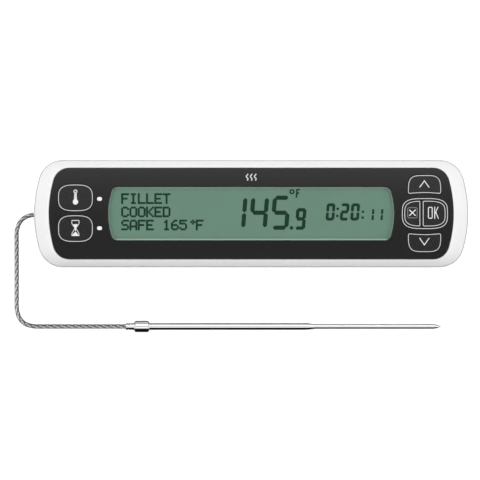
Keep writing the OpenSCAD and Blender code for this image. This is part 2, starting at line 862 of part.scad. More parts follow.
front_shell();
face_panel();
display_lens();
lcd_gasket();
lcd_cell();
backlight_panel();
backlight_leds();
lcd_tray();
zebra_strips();
main_board();
controller_chip();
board_components();
board_screws();
switch_housings();
switch_domes();
indicator_lenses();
indicator_leds();
buzzer();
jack_housing();
jack_bushing();
jack_contact();
jack_terminals();
rear_cover();
back_magnets();
battery_cells();
battery_springs();
battery_plates();
housing_screws();
thermometer_key();
thermometer_plunger();
timer_key();
timer_plunger();
up_key();
up_plunger();
down_key();
down_plunger();
cancel_key();
cancel_plunger();
ok_key();
ok_plunger();
stand_leg();
stand_pin();
stand_foot_pads();
battery_door();
plug_body();
plug_boot();
plug_sleeve();
plug_insulator();
plug_tip();
probe_cord();
probe_ferrule();
probe_collar();
probe_tube();
thermistor();
thermistor_leads();
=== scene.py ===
"""Leave-in meat thermometer: display unit, keys, stand, battery door, lead and steel probe.

Shapes are written in millimetres, in the frame of the CAD model: X along the unit, Y towards its
top edge, Z out of its face. Shape.make turns them into objects in metres.
"""
import math

import bmesh
import bpy
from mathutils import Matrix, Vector


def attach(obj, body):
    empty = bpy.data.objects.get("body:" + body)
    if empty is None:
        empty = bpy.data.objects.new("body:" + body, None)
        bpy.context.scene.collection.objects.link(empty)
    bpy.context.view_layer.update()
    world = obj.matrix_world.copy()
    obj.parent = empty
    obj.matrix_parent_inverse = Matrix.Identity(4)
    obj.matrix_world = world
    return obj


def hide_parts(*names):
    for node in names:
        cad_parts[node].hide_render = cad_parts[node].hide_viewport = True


MM = 0.001
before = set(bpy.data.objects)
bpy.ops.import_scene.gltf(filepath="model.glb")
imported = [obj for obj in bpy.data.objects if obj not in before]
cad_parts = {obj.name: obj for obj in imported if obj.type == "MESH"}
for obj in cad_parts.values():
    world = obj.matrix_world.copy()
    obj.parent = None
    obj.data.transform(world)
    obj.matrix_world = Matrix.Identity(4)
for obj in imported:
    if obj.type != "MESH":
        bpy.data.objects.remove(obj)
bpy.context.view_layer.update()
scene = bpy.context.scene
scene.view_settings.view_transform = "Standard"

# ---- Camera ----
VIEW_CENTRE = (-6.05, -14.26)
VIEW_WIDTH = 259.2
FACE_Z = 24.0
LENS = 800.0
SENSOR = 36.0

camera_data = bpy.data.cameras.new("camera")
camera_data.lens = LENS
camera_data.sensor_width = SENSOR
camera = bpy.data.objects.new("camera", camera_data)
camera_height = FACE_Z + VIEW_WIDTH * LENS / SENSOR
camera.location = (VIEW_CENTRE[0] * MM, VIEW_CENTRE[1] * MM, camera_height * MM)
scene.collection.objects.link(camera)
scene.camera = camera

# ---- Materials ----
# How pointed an edge is where rubbing starts, and where it is at its strongest
WORN_EDGES = (0.53, 0.62)
NOISE_ROUGHNESS = 0.55


def node_of(tree, kind, **values):
    """A new node with its named inputs set."""
    node = tree.nodes.new(kind)
    for name, value in values.items():
        node.inputs[name.replace("_", " ")].default_value = value
    return node


def noise_of(tree, size, detail=3.0, stretch=(1, 1, 1)):
    """Noise whose features are about size millimetres across, stretched along an axis if asked."""
    place = tree.nodes.new("ShaderNodeTexCoord")
    mapping = node_of(tree, "ShaderNodeMapping", Scale=[1 / (size * MM * s) for s in stretch])
    noise = node_of(tree, "ShaderNodeTexNoise", Scale=1.0, Detail=detail, Roughness=NOISE_ROUGHNESS)
    tree.links.new(place.outputs["Object"], mapping.inputs["Vector"])
    tree.links.new(mapping.outputs["Vector"], noise.inputs["Vector"])
    return noise.outputs["Fac"]


def ranged(tree, source, low, high, start=0.25, end=0.75):
    """source, from start..end, spread over low..high; noise lies within the default range."""
    spread = node_of(tree, "ShaderNodeMapRange", From_Min=start, From_Max=end, To_Min=low,
                     To_Max=high)
    tree.links.new(source, spread.inputs["Value"])
    return spread.outputs["Result"]


def finish_of(name, color, roughness, metallic=0.0, grain=0.4, depth=0.01, tint=0.04, patch=12.0,
              wear=0.0, gloss=0.5, ior=1.46, stretch=(1, 1, 1), spread=0.2):
    """A procedural finish.

    grain is the size and depth the height of the fine surface texture in millimetres, tint how
    much the colour drifts over patches of the given size, spread how much the roughness does,
    wear how much lighter the edges are rubbed, and gloss the strength of the clear reflection.
    """
    material = bpy.data.materials.new(name)
    material.use_nodes = True
    tree = material.node_tree
    shader = tree.nodes["Principled BSDF"]
    shader.inputs["Metallic"].default_value = metallic
    shader.inputs["IOR"].default_value = ior
    shader.inputs["Specular IOR Level"].default_value = gloss
    drift = noise_of(tree, patch)
    mix = tree.nodes.new("ShaderNodeMix")
    mix.data_type = "RGBA"
    mix.inputs["A"].default_value = [c * (1 - tint) for c in color] + [1]
    mix.inputs["B"].default_value = [min(1, c * (1 + tint)) for c in color] + [1]
    tree.links.new(ranged(tree, drift, 0, 1), mix.inputs["Factor"])
    result = mix.outputs["Result"]
    if wear:
        edges = tree.nodes.new("ShaderNodeNewGeometry")
        rubbed = ranged(tree, edges.outputs["Pointiness"], 0, wear, *WORN_EDGES)
        worn = tree.nodes.new("ShaderNodeMix")
        worn.data_type = "RGBA"
        worn.inputs["B"].default_value = [min(1, c * 1.6 + 0.04) for c in color] + [1]
        tree.links.new(result, worn.inputs["A"])
        tree.links.new(rubbed, worn.inputs["Factor"])
        result = worn.outputs["Result"]
    tree.links.new(result, shader.inputs["Base Color"])
    fine = noise_of(tree, grain, 2.0, stretch)
    low, high = roughness * (1 - spread), min(1, roughness * (1 + spread))
    tree.links.new(ranged(tree, fine, low, high), shader.inputs["Roughness"])
    bump = node_of(tree, "ShaderNodeBump", Strength=1.0, Distance=depth * MM)
    tree.links.new(fine, bump.inputs["Height"])
    tree.links.new(bump.outputs["Normal"], shader.inputs["Normal"])
    return material


def clear_finish(name, color, opacity, roughness):
    """A clear moulding: mostly see-through, with a faint colour and its gloss."""
    material = finish_of(name, color, roughness, grain=0.8, depth=0.002, tint=0.02)
    shader = material.node_tree.nodes["Principled BSDF"]
    shader.inputs["Alpha"].default_value = opacity
    return material


BRAID = dict(metallic=1, grain=0.12, depth=0.01, tint=0.12, patch=0.6)
PRINT = dict(grain=0.2, depth=0.003, tint=0.03)
LCD_HIGHLIGHT = dict(grain=0.4, depth=0.002, tint=0.03)
# Colour, roughness and the rest of what finish_of takes
SURFACES = {
    "shell_white": ((0.93, 0.932, 0.934), 0.3, dict(grain=0.5, depth=0.0015, tint=0.008, patch=25)),
    "stand_white": ((0.8, 0.805, 0.81), 0.36, dict(grain=0.4, depth=0.006, tint=0.012, wear=0.3)),
    "panel_black": ((0.0065, 0.0065, 0.007), 0.2, dict(grain=0.9, depth=0.002, tint=0.1, patch=18)),
    "key_black": ((0.0075, 0.0075, 0.008), 0.26,
                  dict(grain=0.35, depth=0.003, tint=0.1, wear=0.12)),
    "lcd_green": ((0.147, 0.264, 0.195), 0.35,
                  dict(grain=0.5, depth=0.001, tint=0.03, patch=30, gloss=0.15)),
    "light_guide": ((0.85, 0.88, 0.82), 0.3, dict(grain=0.6, depth=0.01)),
    "led_yellow": ((0.8, 0.62, 0.2), 0.3, dict(grain=0.3)),
    "indicator_white": ((0.95, 0.95, 0.95), 0.3, dict(grain=0.4, depth=0.004, tint=0.01)),
    "gasket_foam": ((0.05, 0.05, 0.055), 0.9, dict(grain=0.12, depth=0.05)),
    "tray_ivory": ((0.74, 0.72, 0.66), 0.42, dict(grain=0.4, depth=0.01)),
    "zebra_pink": ((0.72, 0.3, 0.34), 0.6, dict(grain=0.2, stretch=(0.4, 8, 8))),
    "board_green": ((0.015, 0.11, 0.045), 0.34, dict(grain=0.9, depth=0.02, tint=0.2, patch=4)),
    "part_black": ((0.02, 0.02, 0.021), 0.5, dict(grain=0.2, depth=0.01, wear=0.2)),
    "plunger_tan": ((0.5, 0.38, 0.24), 0.4, dict(grain=0.3)),
    "screw_steel": ((0.56, 0.57, 0.58), 0.28,
                    dict(metallic=1, grain=0.25, depth=0.006, tint=0.08, patch=2)),
    "contact_brass": ((0.8, 0.6, 0.25), 0.26, dict(metallic=1, grain=0.3)),
    "magnet_nickel": ((0.6, 0.6, 0.59), 0.24,
                      dict(metallic=1, grain=0.3, depth=0.004, tint=0.06, patch=4)),
    "cell_jacket": ((0.03, 0.035, 0.04), 0.3, dict(grain=0.8, depth=0.004, tint=0.2, patch=9)),
    "foot_rubber": ((0.035, 0.035, 0.036), 0.72, dict(grain=0.16, depth=0.02)),
    "plug_black": ((0.02, 0.02, 0.021), 0.44, dict(grain=0.25, depth=0.012, wear=0.2)),
    "plug_ring": ((0.02, 0.02, 0.02), 0.4, dict(grain=0.3)),
    "plug_nickel": ((0.66, 0.65, 0.63), 0.16, dict(metallic=1, grain=0.3, depth=0.002)),
    # The braid's colour, then a darker copy of it: painted shade, laid on one way of the ribbons
    "cord_braid": ((0.66, 0.66, 0.665), 0.45, BRAID),
    "braid_painted_shade": ((0.14, 0.14, 0.142), 0.45, BRAID),
    "cord_core": ((0.012, 0.012, 0.013), 0.6, dict(grain=0.2, depth=0.01)),
    "probe_steel": ((0.78, 0.78, 0.785), 0.09,
                    dict(metallic=1, grain=0.16, depth=0.0015, tint=0.02, patch=7,
                         stretch=(30, 1, 1))),
    "sensor_bead": ((0.03, 0.03, 0.03), 0.4, dict()),
    "sensor_lead": ((0.55, 0.12, 0.05), 0.4, dict()),
    "print_grey": ((0.68, 0.68, 0.685), 0.4, PRINT),
    "print_white": ((0.85, 0.85, 0.85), 0.4, PRINT),
    "print_dim": ((0.2, 0.2, 0.205), 0.4, PRINT),
    "lcd_dark": ((0.006, 0.034, 0.02), 0.4, dict(grain=0.4, depth=0.001, tint=0.05, gloss=0.1)),
    # The next two are lighter greens than the display: painted highlights along the window's edge
    "lcd_rim_highlight": ((0.3, 0.41, 0.34), 0.4, LCD_HIGHLIGHT),
    "lcd_edge_highlight": ((0.44, 0.6, 0.48), 0.35, LCD_HIGHLIGHT),
}
FINISHES = {name: finish_of(name, color, roughness, **more)
            for name, (color, roughness, more) in SURFACES.items()}
FINISHES["lens_clear"] = clear_finish("lens_clear", (0.1, 0.14, 0.12), 0.02, 0.12)


# ---- Outlines ----
def arc(centre, radius, start, end, steps, skip=0):
    """Points on an arc, angles in degrees, leaving out skip points at each end."""
    turns = [math.radians(start + (end - start) * i / steps) for i in range(skip, steps + 1 - skip)]
    return [(centre[0] + radius * math.cos(t), centre[1] + radius * math.sin(t)) for t in turns]


def bowed(size, end_steps=26, corner_steps=10):
    """A long shape with straight sides, bowed ends and round corners.

    size is half length, half width, radius of the ends and radius of the corners.
    """
    end_x = size[0] - size[2]
    corner_y = size[1] - size[3]
    corner_x = end_x + math.sqrt((size[2] - size[3]) ** 2 - corner_y ** 2)
    bow = math.degrees(math.atan2(corner_y, corner_x - end_x))
    r = size[3]
    return (arc((end_x, 0), size[2], -bow, bow, end_steps, 1)
            + arc((corner_x, corner_y), r, bow, 90, corner_steps)
            + arc((-corner_x, corner_y), r, 90, 180 - bow, corner_steps)
            + arc((-end_x, 0), size[2], 180 - bow, 180 + bow, end_steps, 1)
            + arc((-corner_x, -corner_y), r, 180 + bow, 270, corner_steps)
            + arc((corner_x, -corner_y), r, 270, 360 - bow, corner_steps))


def inset(size, distance):
    return [v - distance for v in size]


def mixed(a, b, k):
    return [u + (v - u) * k for u, v in zip(a, b)]


def rounded(centre, half, radius, steps=6):
    """A rectangle with round corners."""
    x, y = half[0] - radius, half[1] - radius
    corners = [((x, y), 0), ((-x, y), 90), ((-x, -y), 180), ((x, -y), 270)]
    points = [p for c, start in corners for p in arc(c, radius, start, start + 90, steps)]
    return moved(points, centre)


def between(low, high, radius):
    """A rectangle with round corners, from its lowest and highest corners."""
    return rounded(((low[0] + high[0]) / 2, (low[1] + high[1]) / 2),
                   ((high[0] - low[0]) / 2, (high[1] - low[1]) / 2), radius)


def circle(centre, radius, steps=40):
    return arc(centre, radius, 0, 360, steps)[:-1]


def moved(points, offset):
    return [(p[0] + offset[0], p[1] + offset[1]) for p in points]


def power_of(value, exponent):
    return math.copysign(abs(value) ** exponent, value)


def barrel(half, power, steps=96):
    """A superellipse."""
    turns = [math.tau * i / steps for i in range(steps)]
    return [(half[0] * power_of(math.cos(t), 2 / power), half[1] * power_of(math.sin(t), 2 / power))
            for t in turns]


def arched(half, power, dip, steps=60):
    """An arched top that flares down to a slightly hollow bottom edge."""
    turns = [math.pi * i / steps for i in range(steps + 1)]
    top = [(half[0] * power_of(math.cos(t), 2 / power),
            half[1] * (2 * abs(math.sin(t)) ** (2 / power) - 1)) for t in turns]
    across = [i / 8 for i in range(-7, 8)]
    return top + [(half[0] * k, dip * (1 - k * k) - half[1]) for k in across]


def cut_at(points, x, side):
    """The part of a closed outline on one side of the line at x."""
    kept = []
    for p, q in zip(points, points[1:] + points[:1]):
        if side * (p[0] - x) >= 0:
            kept.append(p)
        if (p[0] - x) * (q[0] - x) < 0:
            k = (x - p[0]) / (q[0] - p[0])
            kept.append((x, p[1] + k * (q[1] - p[1])))
    return kept


def softened(points, radius, sharp=40.0, steps=6):
    """The same outline with its sharp corners rounded to radius."""
    points = [p for p, q in zip(points, points[-1:] + points[:-1]) if math.dist(p, q) > 1e-4]
    count = len(points)
    corners = []
    for i, p in enumerate(points):
        into = Vector(p) - Vector(points[i - 1])
        out = Vector(points[(i + 1) % count]) - Vector(p)
        turn = math.degrees(abs(into.angle_signed(out)))
        if turn > sharp:
            corners.append((i, into.normalized(), out.normalized(), math.radians(turn)))
    result = []
    for i, p in enumerate(points):
        corner = next((c for c in corners if c[0] == i), None)
        if corner is None:
            near = any(math.dist(p, points[c[0]]) < radius * math.tan(c[3] / 2) for c in corners)
            if not near:
                result.append(p)
            continue
        _, into, out, turn = corner
        reach = radius * math.tan(turn / 2)
        start, end = Vector(p) - into * reach, Vector(p) + out * reach
        for k in range(steps + 1):
            t = k / steps
            point = start * (1 - t) ** 2 + Vector(p) * 2 * t * (1 - t) + end * t * t
            result.append((point.x, point.y))
    return result


def grown(points, distance):
    """The outline moved outwards by distance, or inwards if it is negative."""
    count = len(points)
    result = []
    for i, p in enumerate(points):
        before, after = Vector(points[i - 1]), Vector(points[(i + 1) % count])
        into, out = (Vector(p) - before).normalized(), (after - Vector(p)).normalized()
        normal = Vector((into.y + out.y, -into.x - out.x)).normalized()
        spread = max(0.5, normal.dot(Vector((out.y, -out.x))))
        result.append((p[0] + normal.x * distance / spread, p[1] + normal.y * distance / spread))
    return result


# ---- Shapes ----
def at_height(points, z):
    return [(p[0], p[1], z) for p in points]


class Shape:
    """Points in millimetres and faces, gathered before they become one object."""

    def __init__(self):
        self.points = []
        self.faces = []
        self.slots = []
        self.marks = 0

    def loft(self, rings, slot=0, closed=False, marked=()):
        """Skin over rings of equal length, capped at both ends unless closed.

        marked gives other slots for some bands: pairs of band number and slot.
        """
        size = len(rings[0])
        count = len(rings)
        first = len(self.points)
        self.points += [tuple(p) for ring in rings for p in ring]
        other = dict(marked)
        for r in range(count if closed else count - 1):
            a, b = first + r * size, first + (r + 1) % count * size
            for i in range(size):
                j = (i + 1) % size
                self.faces.append([a + i, a + j, b + j, b + i])
                self.slots.append(other.get(r, slot))
        if not closed:
            self.faces.append([first + i for i in reversed(range(size))])
            self.slots.append(slot)
            self.faces.append([first + (count - 1) * size + i for i in range(size)])
            self.slots.append(other.get(count - 1, slot))
        return self

    def prism(self, outline, low, high, slot=0):
        return self.loft([at_height(outline, low), at_height(outline, high)], slot)

    def turned(self, start, along, profile, slot=0, steps=48, closed=False):
        """A turned piece: profile is pairs of distance along the axis and radius."""
        axis = Vector(along).normalized()
        side = axis.cross(Vector((0, 1, 0) if abs(axis.y) < 0.9 else (1, 0, 0))).normalized()
        other = axis.cross(side)
        rings = []
        for distance, radius in profile:
            centre = Vector(start) + axis * distance
            turns = [math.tau * i / steps for i in range(steps)]
            rings.append([centre + (side * math.cos(t) + other * math.sin(t)) * radius
                          for t in turns])
        return self.loft(rings, slot, closed)

    def stroke(self, line, width, low, high, slot=0, closed=False):
        """A flat line of the given width along points, as printed ink has."""
        count = len(line)
        left, right = [], []
        for i, p in enumerate(line):
            before = line[i - 1] if closed or i > 0 else p
            after = line[(i + 1) % count] if closed or i < count - 1 else p
            into = (Vector(p) - Vector(before)).normalized()
            out = (Vector(after) - Vector(p)).normalized()
            normal = Vector((into.y + out.y, -into.x - out.x)).normalized()
            base = out if out.length else into
            spread = max(0.5, abs(normal.dot(Vector((base.y, -base.x)))))
            reach = normal * (width / 2 / spread)
            left.append((p[0] + reach.x, p[1] + reach.y))
            right.append((p[0] - reach.x, p[1] - reach.y))
        if closed:
            rings = [at_height(left, low), at_height(left, high), at_height(right, high),
                     at_height(right, low)]
            return self.loft(rings, slot, closed=True)
        return self.prism(left + right[::-1], low, high, slot)

    def make(self, name, finishes, body, replaces=(), slot=None, sharp=32.0):
        """The object: finishes are names of FINISHES, in the order of the faces' slots."""
        mesh = bpy.data.meshes.new(name)
        mesh.from_pydata([[c * MM for c in p] for p in self.points], [], self.faces)
        for finish in finishes:
            mesh.materials.append(FINISHES[finish])
        mesh.polygons.foreach_set("material_index", self.slots)
        obj = bpy.data.objects.new(name, mesh)
        scene.collection.objects.link(obj)
        outward(mesh)
        shade(obj, sharp)
        if body:
            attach(obj, body)
        if replaces:
            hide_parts(*replaces)
        return obj


def outward(mesh):
    """Turns every face outwards."""
    editing = bmesh.new()
    editing.from_mesh(mesh)
    bmesh.ops.recalc_face_normals(editing, faces=editing.faces)
    editing.to_mesh(mesh)
    editing.free()


def shade(obj, sharp):
    """Smooth shading, with edges sharper than the angle kept crisp and flat faces kept flat."""
    mesh = obj.data
    mesh.polygons.foreach_set("use_smooth", [True] * len(mesh.polygons))
    mesh.set_sharp_from_angle(angle=math.radians(sharp))
    weighted = obj.modifiers.new("weighted_normals", "WEIGHTED_NORMAL")
    weighted.keep_sharp = True


def carved(obj, joined, cutters, sharp=32.0):
    """Adds the joined solids to obj and cuts the cutters out of it."""
    obj.modifiers.clear()
    spare = []
    for shapes, operation in ((joined, "UNION"), (cutters, "DIFFERENCE")):
        if not shapes:
            continue
        group = bpy.data.collections.new("tools")
        scene.collection.children.link(group)
        for shape in shapes:
            mesh = bpy.data.meshes.new("tool")
            mesh.from_pydata([[c * MM for c in p] for p in shape.points], [], shape.faces)
            outward(mesh)
            tool = bpy.data.objects.new("tool", mesh)
            group.objects.link(tool)
            spare.append(tool)
        boolean = obj.modifiers.new("carving", "BOOLEAN")
        boolean.operation = operation
        boolean.operand_type = "COLLECTION"
        boolean.collection = group
        boolean.solver = "EXACT"
    view = bpy.context.evaluated_depsgraph_get()
    result = bpy.data.meshes.new_from_object(obj.evaluated_get(view))
    obj.modifiers.clear()
    obj.data = result
    for tool in spare:
        bpy.data.objects.remove(tool)
    for group in [c for c in bpy.data.collections if c.name.startswith("tools")]:
        bpy.data.collections.remove(group)
    shade(obj, sharp)


def sections(outline, steps):
    """The outline at each of some pairs of offset and height."""
    return [at_height(grown(outline, offset), z) for offset, z in steps]


def quarter(steps):
    """Angles from 0 to 90 degrees."""
    return [math.radians(90 * k / steps) for k in range(steps + 1)]


def rod(start, along, length, radius):
    return Shape().turned(start, along, [(0, radius), (length, radius)])


def mouth(outline, low, high, flare=0.3, fillet=0.5, up=True):
    """A cutter through a face, flared at its open end and filleted at its blind end.

    Its open end is at low when up is true, else at high.
    """
    depths = [(-0.5, flare), (0, flare), (flare * 0.3, flare * 0.45), (flare, 0)]
    total = high - low
    blind = [(total - fillet, 0), (total - fillet * 0.3, -fillet * 0.3), (total, -fillet)]
    steps = depths + (blind if fillet else [(total, 0)])
    return Shape().loft(sections(outline, [(offset, low + depth if up else high - depth)
                                           for depth, offset in steps]))


def lower_edge(outline, low, edge):
    """Sections of a plate's round lower edge."""
    return sections(outline, [(-edge * (1 - math.sin(t)), low + edge * (1 - math.cos(t)))
                              for t in quarter(4)])


# ---- Cord ----
CORD_EXIT = (-116, -0.6, 5.5)
PROBE_START = (-68, -61.1, 3.324)
PROBE_SLOPE = math.radians(0.68921)
# From the plug's boot out to the left, down beside the unit, round the corner and to the probe.
CORD_ROUTE = [
    CORD_EXIT, (-119, -0.8, 5.4), (-122.5, -2, 5), (-125.5, -4.9, 4.4), (-127, -9.5, 3.7),
    (-127.1, -15, 2.9), (-127.1, -21, 2.1), (-127.1, -27, 1.6), (-127.1, -33, 1.4),
    (-127.1, -39, 1.4), (-127.1, -45, 1.4), (-127, -51.5, 1.4), (-125.6, -56.4, 1.4),
    (-122.3, -59.7, 1.4), (-117.5, -61, 1.4), (-111, -61.1, 1.4), (-105, -61.1, 1.4),
    (-99, -61.1, 1.4), (-93, -61.1, 1.5), (-87, -61.1, 1.9), (-81, -61.1, 2.5),
    (-74.5, -61.1, 3.1), PROBE_START,
]
# The braid: ribbons each way, their lead and radius, how far they weave, and the wires of each
CARRIERS = 4
BRAID_LEAD = 15.4
BRAID_R = 1.11
BRAID_WAVE = 0.1
RIBBON_W = 1.04
WIRES = 5
WIRE_BUMP = 0.06
RIBBON_DEPTH = 0.12
RIBBON_STEP = 0.3
CORE_R = 0.98
CORE_SIDES = 16
CORE_RINGS = 160


def smooth_path(points, step):
    """Points about step apart on a smooth curve through the given ones."""
    line = [Vector(p) for p in points]
    line = [2 * line[0] - line[1]] + line + [2 * line[-1] - line[-2]]
    result = []
    for a, b, c, d in zip(line, line[1:], line[2:], line[3:]):
        steps = max(2, round((c - b).length / step))
        for i in range(steps):
            t = i / steps
            result.append(0.5 * (2 * b + (c - a) * t + (2 * a - 5 * b + 4 * c - d) * t ** 2
                                 + (3 * b - a - 3 * c + d) * t ** 3))
    return result + [line[-2]]


class Centreline:
    """A smooth path that gives a point beside it, from a distance along, a radius and a turn."""

    def __init__(self, points):
        self.points = points
        self.along = [0.0]
        for p, q in zip(points, points[1:]):
            self.along.append(self.along[-1] + (q - p).length)
        self.length = self.along[-1]
        self.step = self.length / (len(points) - 1)
        self.sides = []
        for i, p in enumerate(points):
            ahead = points[min(i + 1, len(points) - 1)] - points[max(i - 1, 0)]
            side = ahead.cross(Vector((0, 0, 1))).normalized()
            self.sides.append((side, side.cross(ahead).normalized()))

    def beside(self, distance, radius, turn):
        distance = min(max(distance, 0), self.length)
        i = min(int(distance / self.step), len(self.points) - 2)
        while i > 0 and self.along[i] > distance:
            i -= 1
        while i < len(self.points) - 2 and self.along[i + 1] < distance:
            i += 1
        k = (distance - self.along[i]) / (self.along[i + 1] - self.along[i])
        centre = self.points[i].lerp(self.points[i + 1], k)
        side = self.sides[i][0].lerp(self.sides[i + 1][0], k)
        up = self.sides[i][1].lerp(self.sides[i + 1][1], k)
        return centre + radius * (side * math.cos(turn) + up * math.sin(turn))


def braided(line):
    """A dark core under two sets of flat wire ribbons, which take turns on top round the cord; one
    set wears a darker copy of the braid's colour, painted shade.
    """
    shape = Shape()
    turns = [math.tau * i / CORE_SIDES for i in range(CORE_SIDES)]
    stations = [line.length * i / CORE_RINGS for i in range(CORE_RINGS + 1)]
    shape.loft([[line.beside(s, CORE_R, t) for t in turns] for s in stations], 2)
    slant = math.atan(math.tau * BRAID_R / BRAID_LEAD)
    count = round(line.length / RIBBON_STEP)
    across = [RIBBON_W * (i / (2 * WIRES) - 0.5) for i in range(2 * WIRES + 1)]
    profile = [(q, WIRE_BUMP * (i % 2)) for i, q in enumerate(across)]
    profile += [(across[-1] * 0.9, -RIBBON_DEPTH), (across[0] * 0.9, -RIBBON_DEPTH)]
    for way in (-1, 1):
        for carrier in range(CARRIERS):
            rings = []
            for i in range(count + 1):
                s = line.length * i / count
                turn = way * math.tau * s / BRAID_LEAD + math.tau * carrier / CARRIERS
                ring = []
                for q, lift in profile:
                    along = min(max(s - way * q * math.sin(slant), 0), line.length)
                    around = turn + q * math.cos(slant) / BRAID_R
                    wave = way * BRAID_WAVE * math.sin(2 * around)
                    ring.append(line.beside(along, BRAID_R - wave + lift, around))
                rings.append(ring)
            # Ribbons of one way (slot 1) take the darker copy of the braid's colour: painted shade
            # on the cord
            shape.loft(rings, 0 if way < 0 else 1)
    return shape


cord_line = Centreline(smooth_path(CORD_ROUTE, 0.5))
cord = braided(cord_line).make("braided_cord", ["cord_braid", "braid_painted_shade", "cord_core"],
                               "probe_lead", ["probe_cord"], sharp=60)

# ---- Probe ----
PROBE_L = 171.0
SHAFT_R = 1.875
NEEDLE_R = 1.3
COLLAR_R = 3.15
FERRULE_L = 4.6
COLLAR_END = 12.8
SHAFT_END = 97.4
TAPER_END = 103.3
NEEDLE_END = 166.6
PROBE_AXIS = (math.cos(PROBE_SLOPE), 0, -math.sin(PROBE_SLOPE))


def probe_piece(name, profile, node):
    shape = Shape().turned(PROBE_START, PROBE_AXIS, profile, steps=72)
    return shape.make(name, ["probe_steel"], "probe_lead", [node], sharp=24)


def crimp(start, width, radius, depth):
    """A rolled groove."""
    return [(start + width * k / 6, radius - depth * math.sin(math.pi * k / 6)) for k in range(7)]


ferrule = probe_piece("ferrule", [(0, 1.36), (0.05, 1.6), (0.3, SHAFT_R - 0.04), (0.6, SHAFT_R)]
                      + crimp(1.1, 0.9, SHAFT_R, 0.28) + crimp(2.9, 0.8, SHAFT_R, 0.16)
                      + [(FERRULE_L, SHAFT_R)], "probe_ferrule")
collar_edge = [(0, 1.9), (0.02, COLLAR_R - 0.72), (0.14, COLLAR_R - 0.6), (0.62, COLLAR_R - 0.1),
               (0.8, COLLAR_R)]
collar = probe_piece("collar", [(FERRULE_L + d, r) for d, r in collar_edge]
                     + [(COLLAR_END - d, r) for d, r in reversed(collar_edge)], "probe_collar")
tip = [(NEEDLE_END + (PROBE_L - NEEDLE_END) * k / 8, NEEDLE_R * (1 - (k / 8) ** 1.7) + 0.03 * k / 8)
       for k in range(9)]
taper = [(SHAFT_END + (TAPER_END - SHAFT_END) * k / 6,
          NEEDLE_R + (SHAFT_R - NEEDLE_R) * (1 + math.cos(math.pi * k / 6)) / 2) for k in range(7)]
shaft_rings = [(COLLAR_END - 0.5 + (SHAFT_END - COLLAR_END + 0.5) * k / 8, SHAFT_R)
               for k in range(8)]
needle_rings = [(TAPER_END + (NEEDLE_END - TAPER_END) * k / 6, NEEDLE_R) for k in range(1, 6)]
probe_piece("probe_rod", shaft_rings + taper + needle_rings + tip, "probe_tube")

# ---- Plug ----
PLUG_X = -91.9
PLUG_L = 16.0
JACK_Y = -0.6
JACK_Z = 5.5
RIB_POINTS = 6


def ribbed(start, end, low, high, count, depth):
    """A tapering profile with rounded ribs."""
    points = []
    for k in range(RIB_POINTS * count + 1):
        t = k / (RIB_POINTS * count)
        ripple = depth * math.cos(math.tau * k / RIB_POINTS)
        points.append((start + (end - start) * t, low + (high - low) * t - ripple))
    return points


grip = ribbed(3.5, 12.5, 3.2, 3.2, 6, 0.12)
plug_profile = [(0, 2.5), (0.2, 2.9), (0.9, 3.3), (1.4, 3.38)] + grip
plug_profile += [(13.2, 3.38), (PLUG_L - 0.6, 3.35), (PLUG_L - 0.1, 3.0), (PLUG_L, 2.6)]
Shape().turned((PLUG_X - PLUG_L, JACK_Y, JACK_Z), (1, 0, 0), plug_profile).make(
    "plug_grip", ["plug_black"], "probe_lead", ["plug_body"])
boot_l = PLUG_X - PLUG_L - CORD_EXIT[0]
boot_profile = ([(0, 1.4), (0.05, 1.72)] + ribbed(0.3, boot_l - 0.4, 1.7, 2.4, 6, 0.12)
                + [(boot_l, 2.5)])
Shape().turned(CORD_EXIT, (1, 0, 0), boot_profile).make(
    "strain_relief", ["plug_black"], "probe_lead", ["plug_boot"])

# ---- Housing ----
UNIT = [117.5, 29.2, 70, 13.5]
PANEL = [109.25, 24.65, 67, 8.8]
WINDOW = [77.2, 14.4, 40, 3.2]
UNIT_T = 25.0
SPLIT_Z = 12.0
DECK_Z = 20.4
PANEL_Z = 22.4
PANEL_TOP = 24.4
WALL = 2.6
# The front shell's rim: a superellipse from RIM_START to its top, RIM_REACH of the way to the panel
RIM_START = 19.6
RIM_REACH = 0.94
RIM_POWER = 1.25
GROOVE_TOP = 18.4
GROOVE_DEPTH = 0.8
GROOVE_IN = 0.66
LCD = (78.8, 17)
POCKET_END_X = -91.6
POCKET_HALF_W = 6.5
POCKET_ROOF = 10.6
SCREWS = [(x, y) for x in (-80, 0, 80) for y in (-22.5, 22.5)]
MAGNETS = [(x, y) for x in (-100, 100) for y in (-15, 15)]
INDICATORS = [(-81.9, 7.9), (-81.9, -7.9)]
INDICATOR = (1.32, 1.05)

# ---- Key outlines ----
KEY_GAP = 0.25
OVALS = {"thermometer": (-94.9, 8.5), "timer": (-94.9, -8.1)}
ARROW = (93.6, 15.65)
PAIR = (93.8, 0)
PAIR_CUTS = (91.37, 92.56)
oval = barrel((9.45, 7.25), 3.0)
arrow = softened(arched((9.05, 5.2), 3.9, 0.6), 1.3)
pair = moved(barrel((11.2, 7.0), 3.4), PAIR)
KEYS = {
    "thermometer": moved(oval, OVALS["thermometer"]),
    "timer": moved(oval, OVALS["timer"]),
    "up": moved(arrow, ARROW),
    "down": moved([(x, -y) for x, y in reversed(arrow)], (ARROW[0], -ARROW[1])),
    "cancel": softened(cut_at(pair, PAIR_CUTS[0], -1), 0.7),
    "ok": softened(cut_at(pair, PAIR_CUTS[1], 1), 0.7),
}


def face_openings(low, high, flare):
    """Cutters for the keys and the two indicator windows, open towards the face."""
    shapes = [mouth(grown(outline, KEY_GAP), low, high, flare, 0, up=False)
              for outline in KEYS.values()]
    for place in INDICATORS:
        hole = rounded(place, [h + 0.05 for h in INDICATOR], 0.9)
        shapes.append(mouth(hole, low, high, flare * 0.6, 0, up=False))
    return shapes


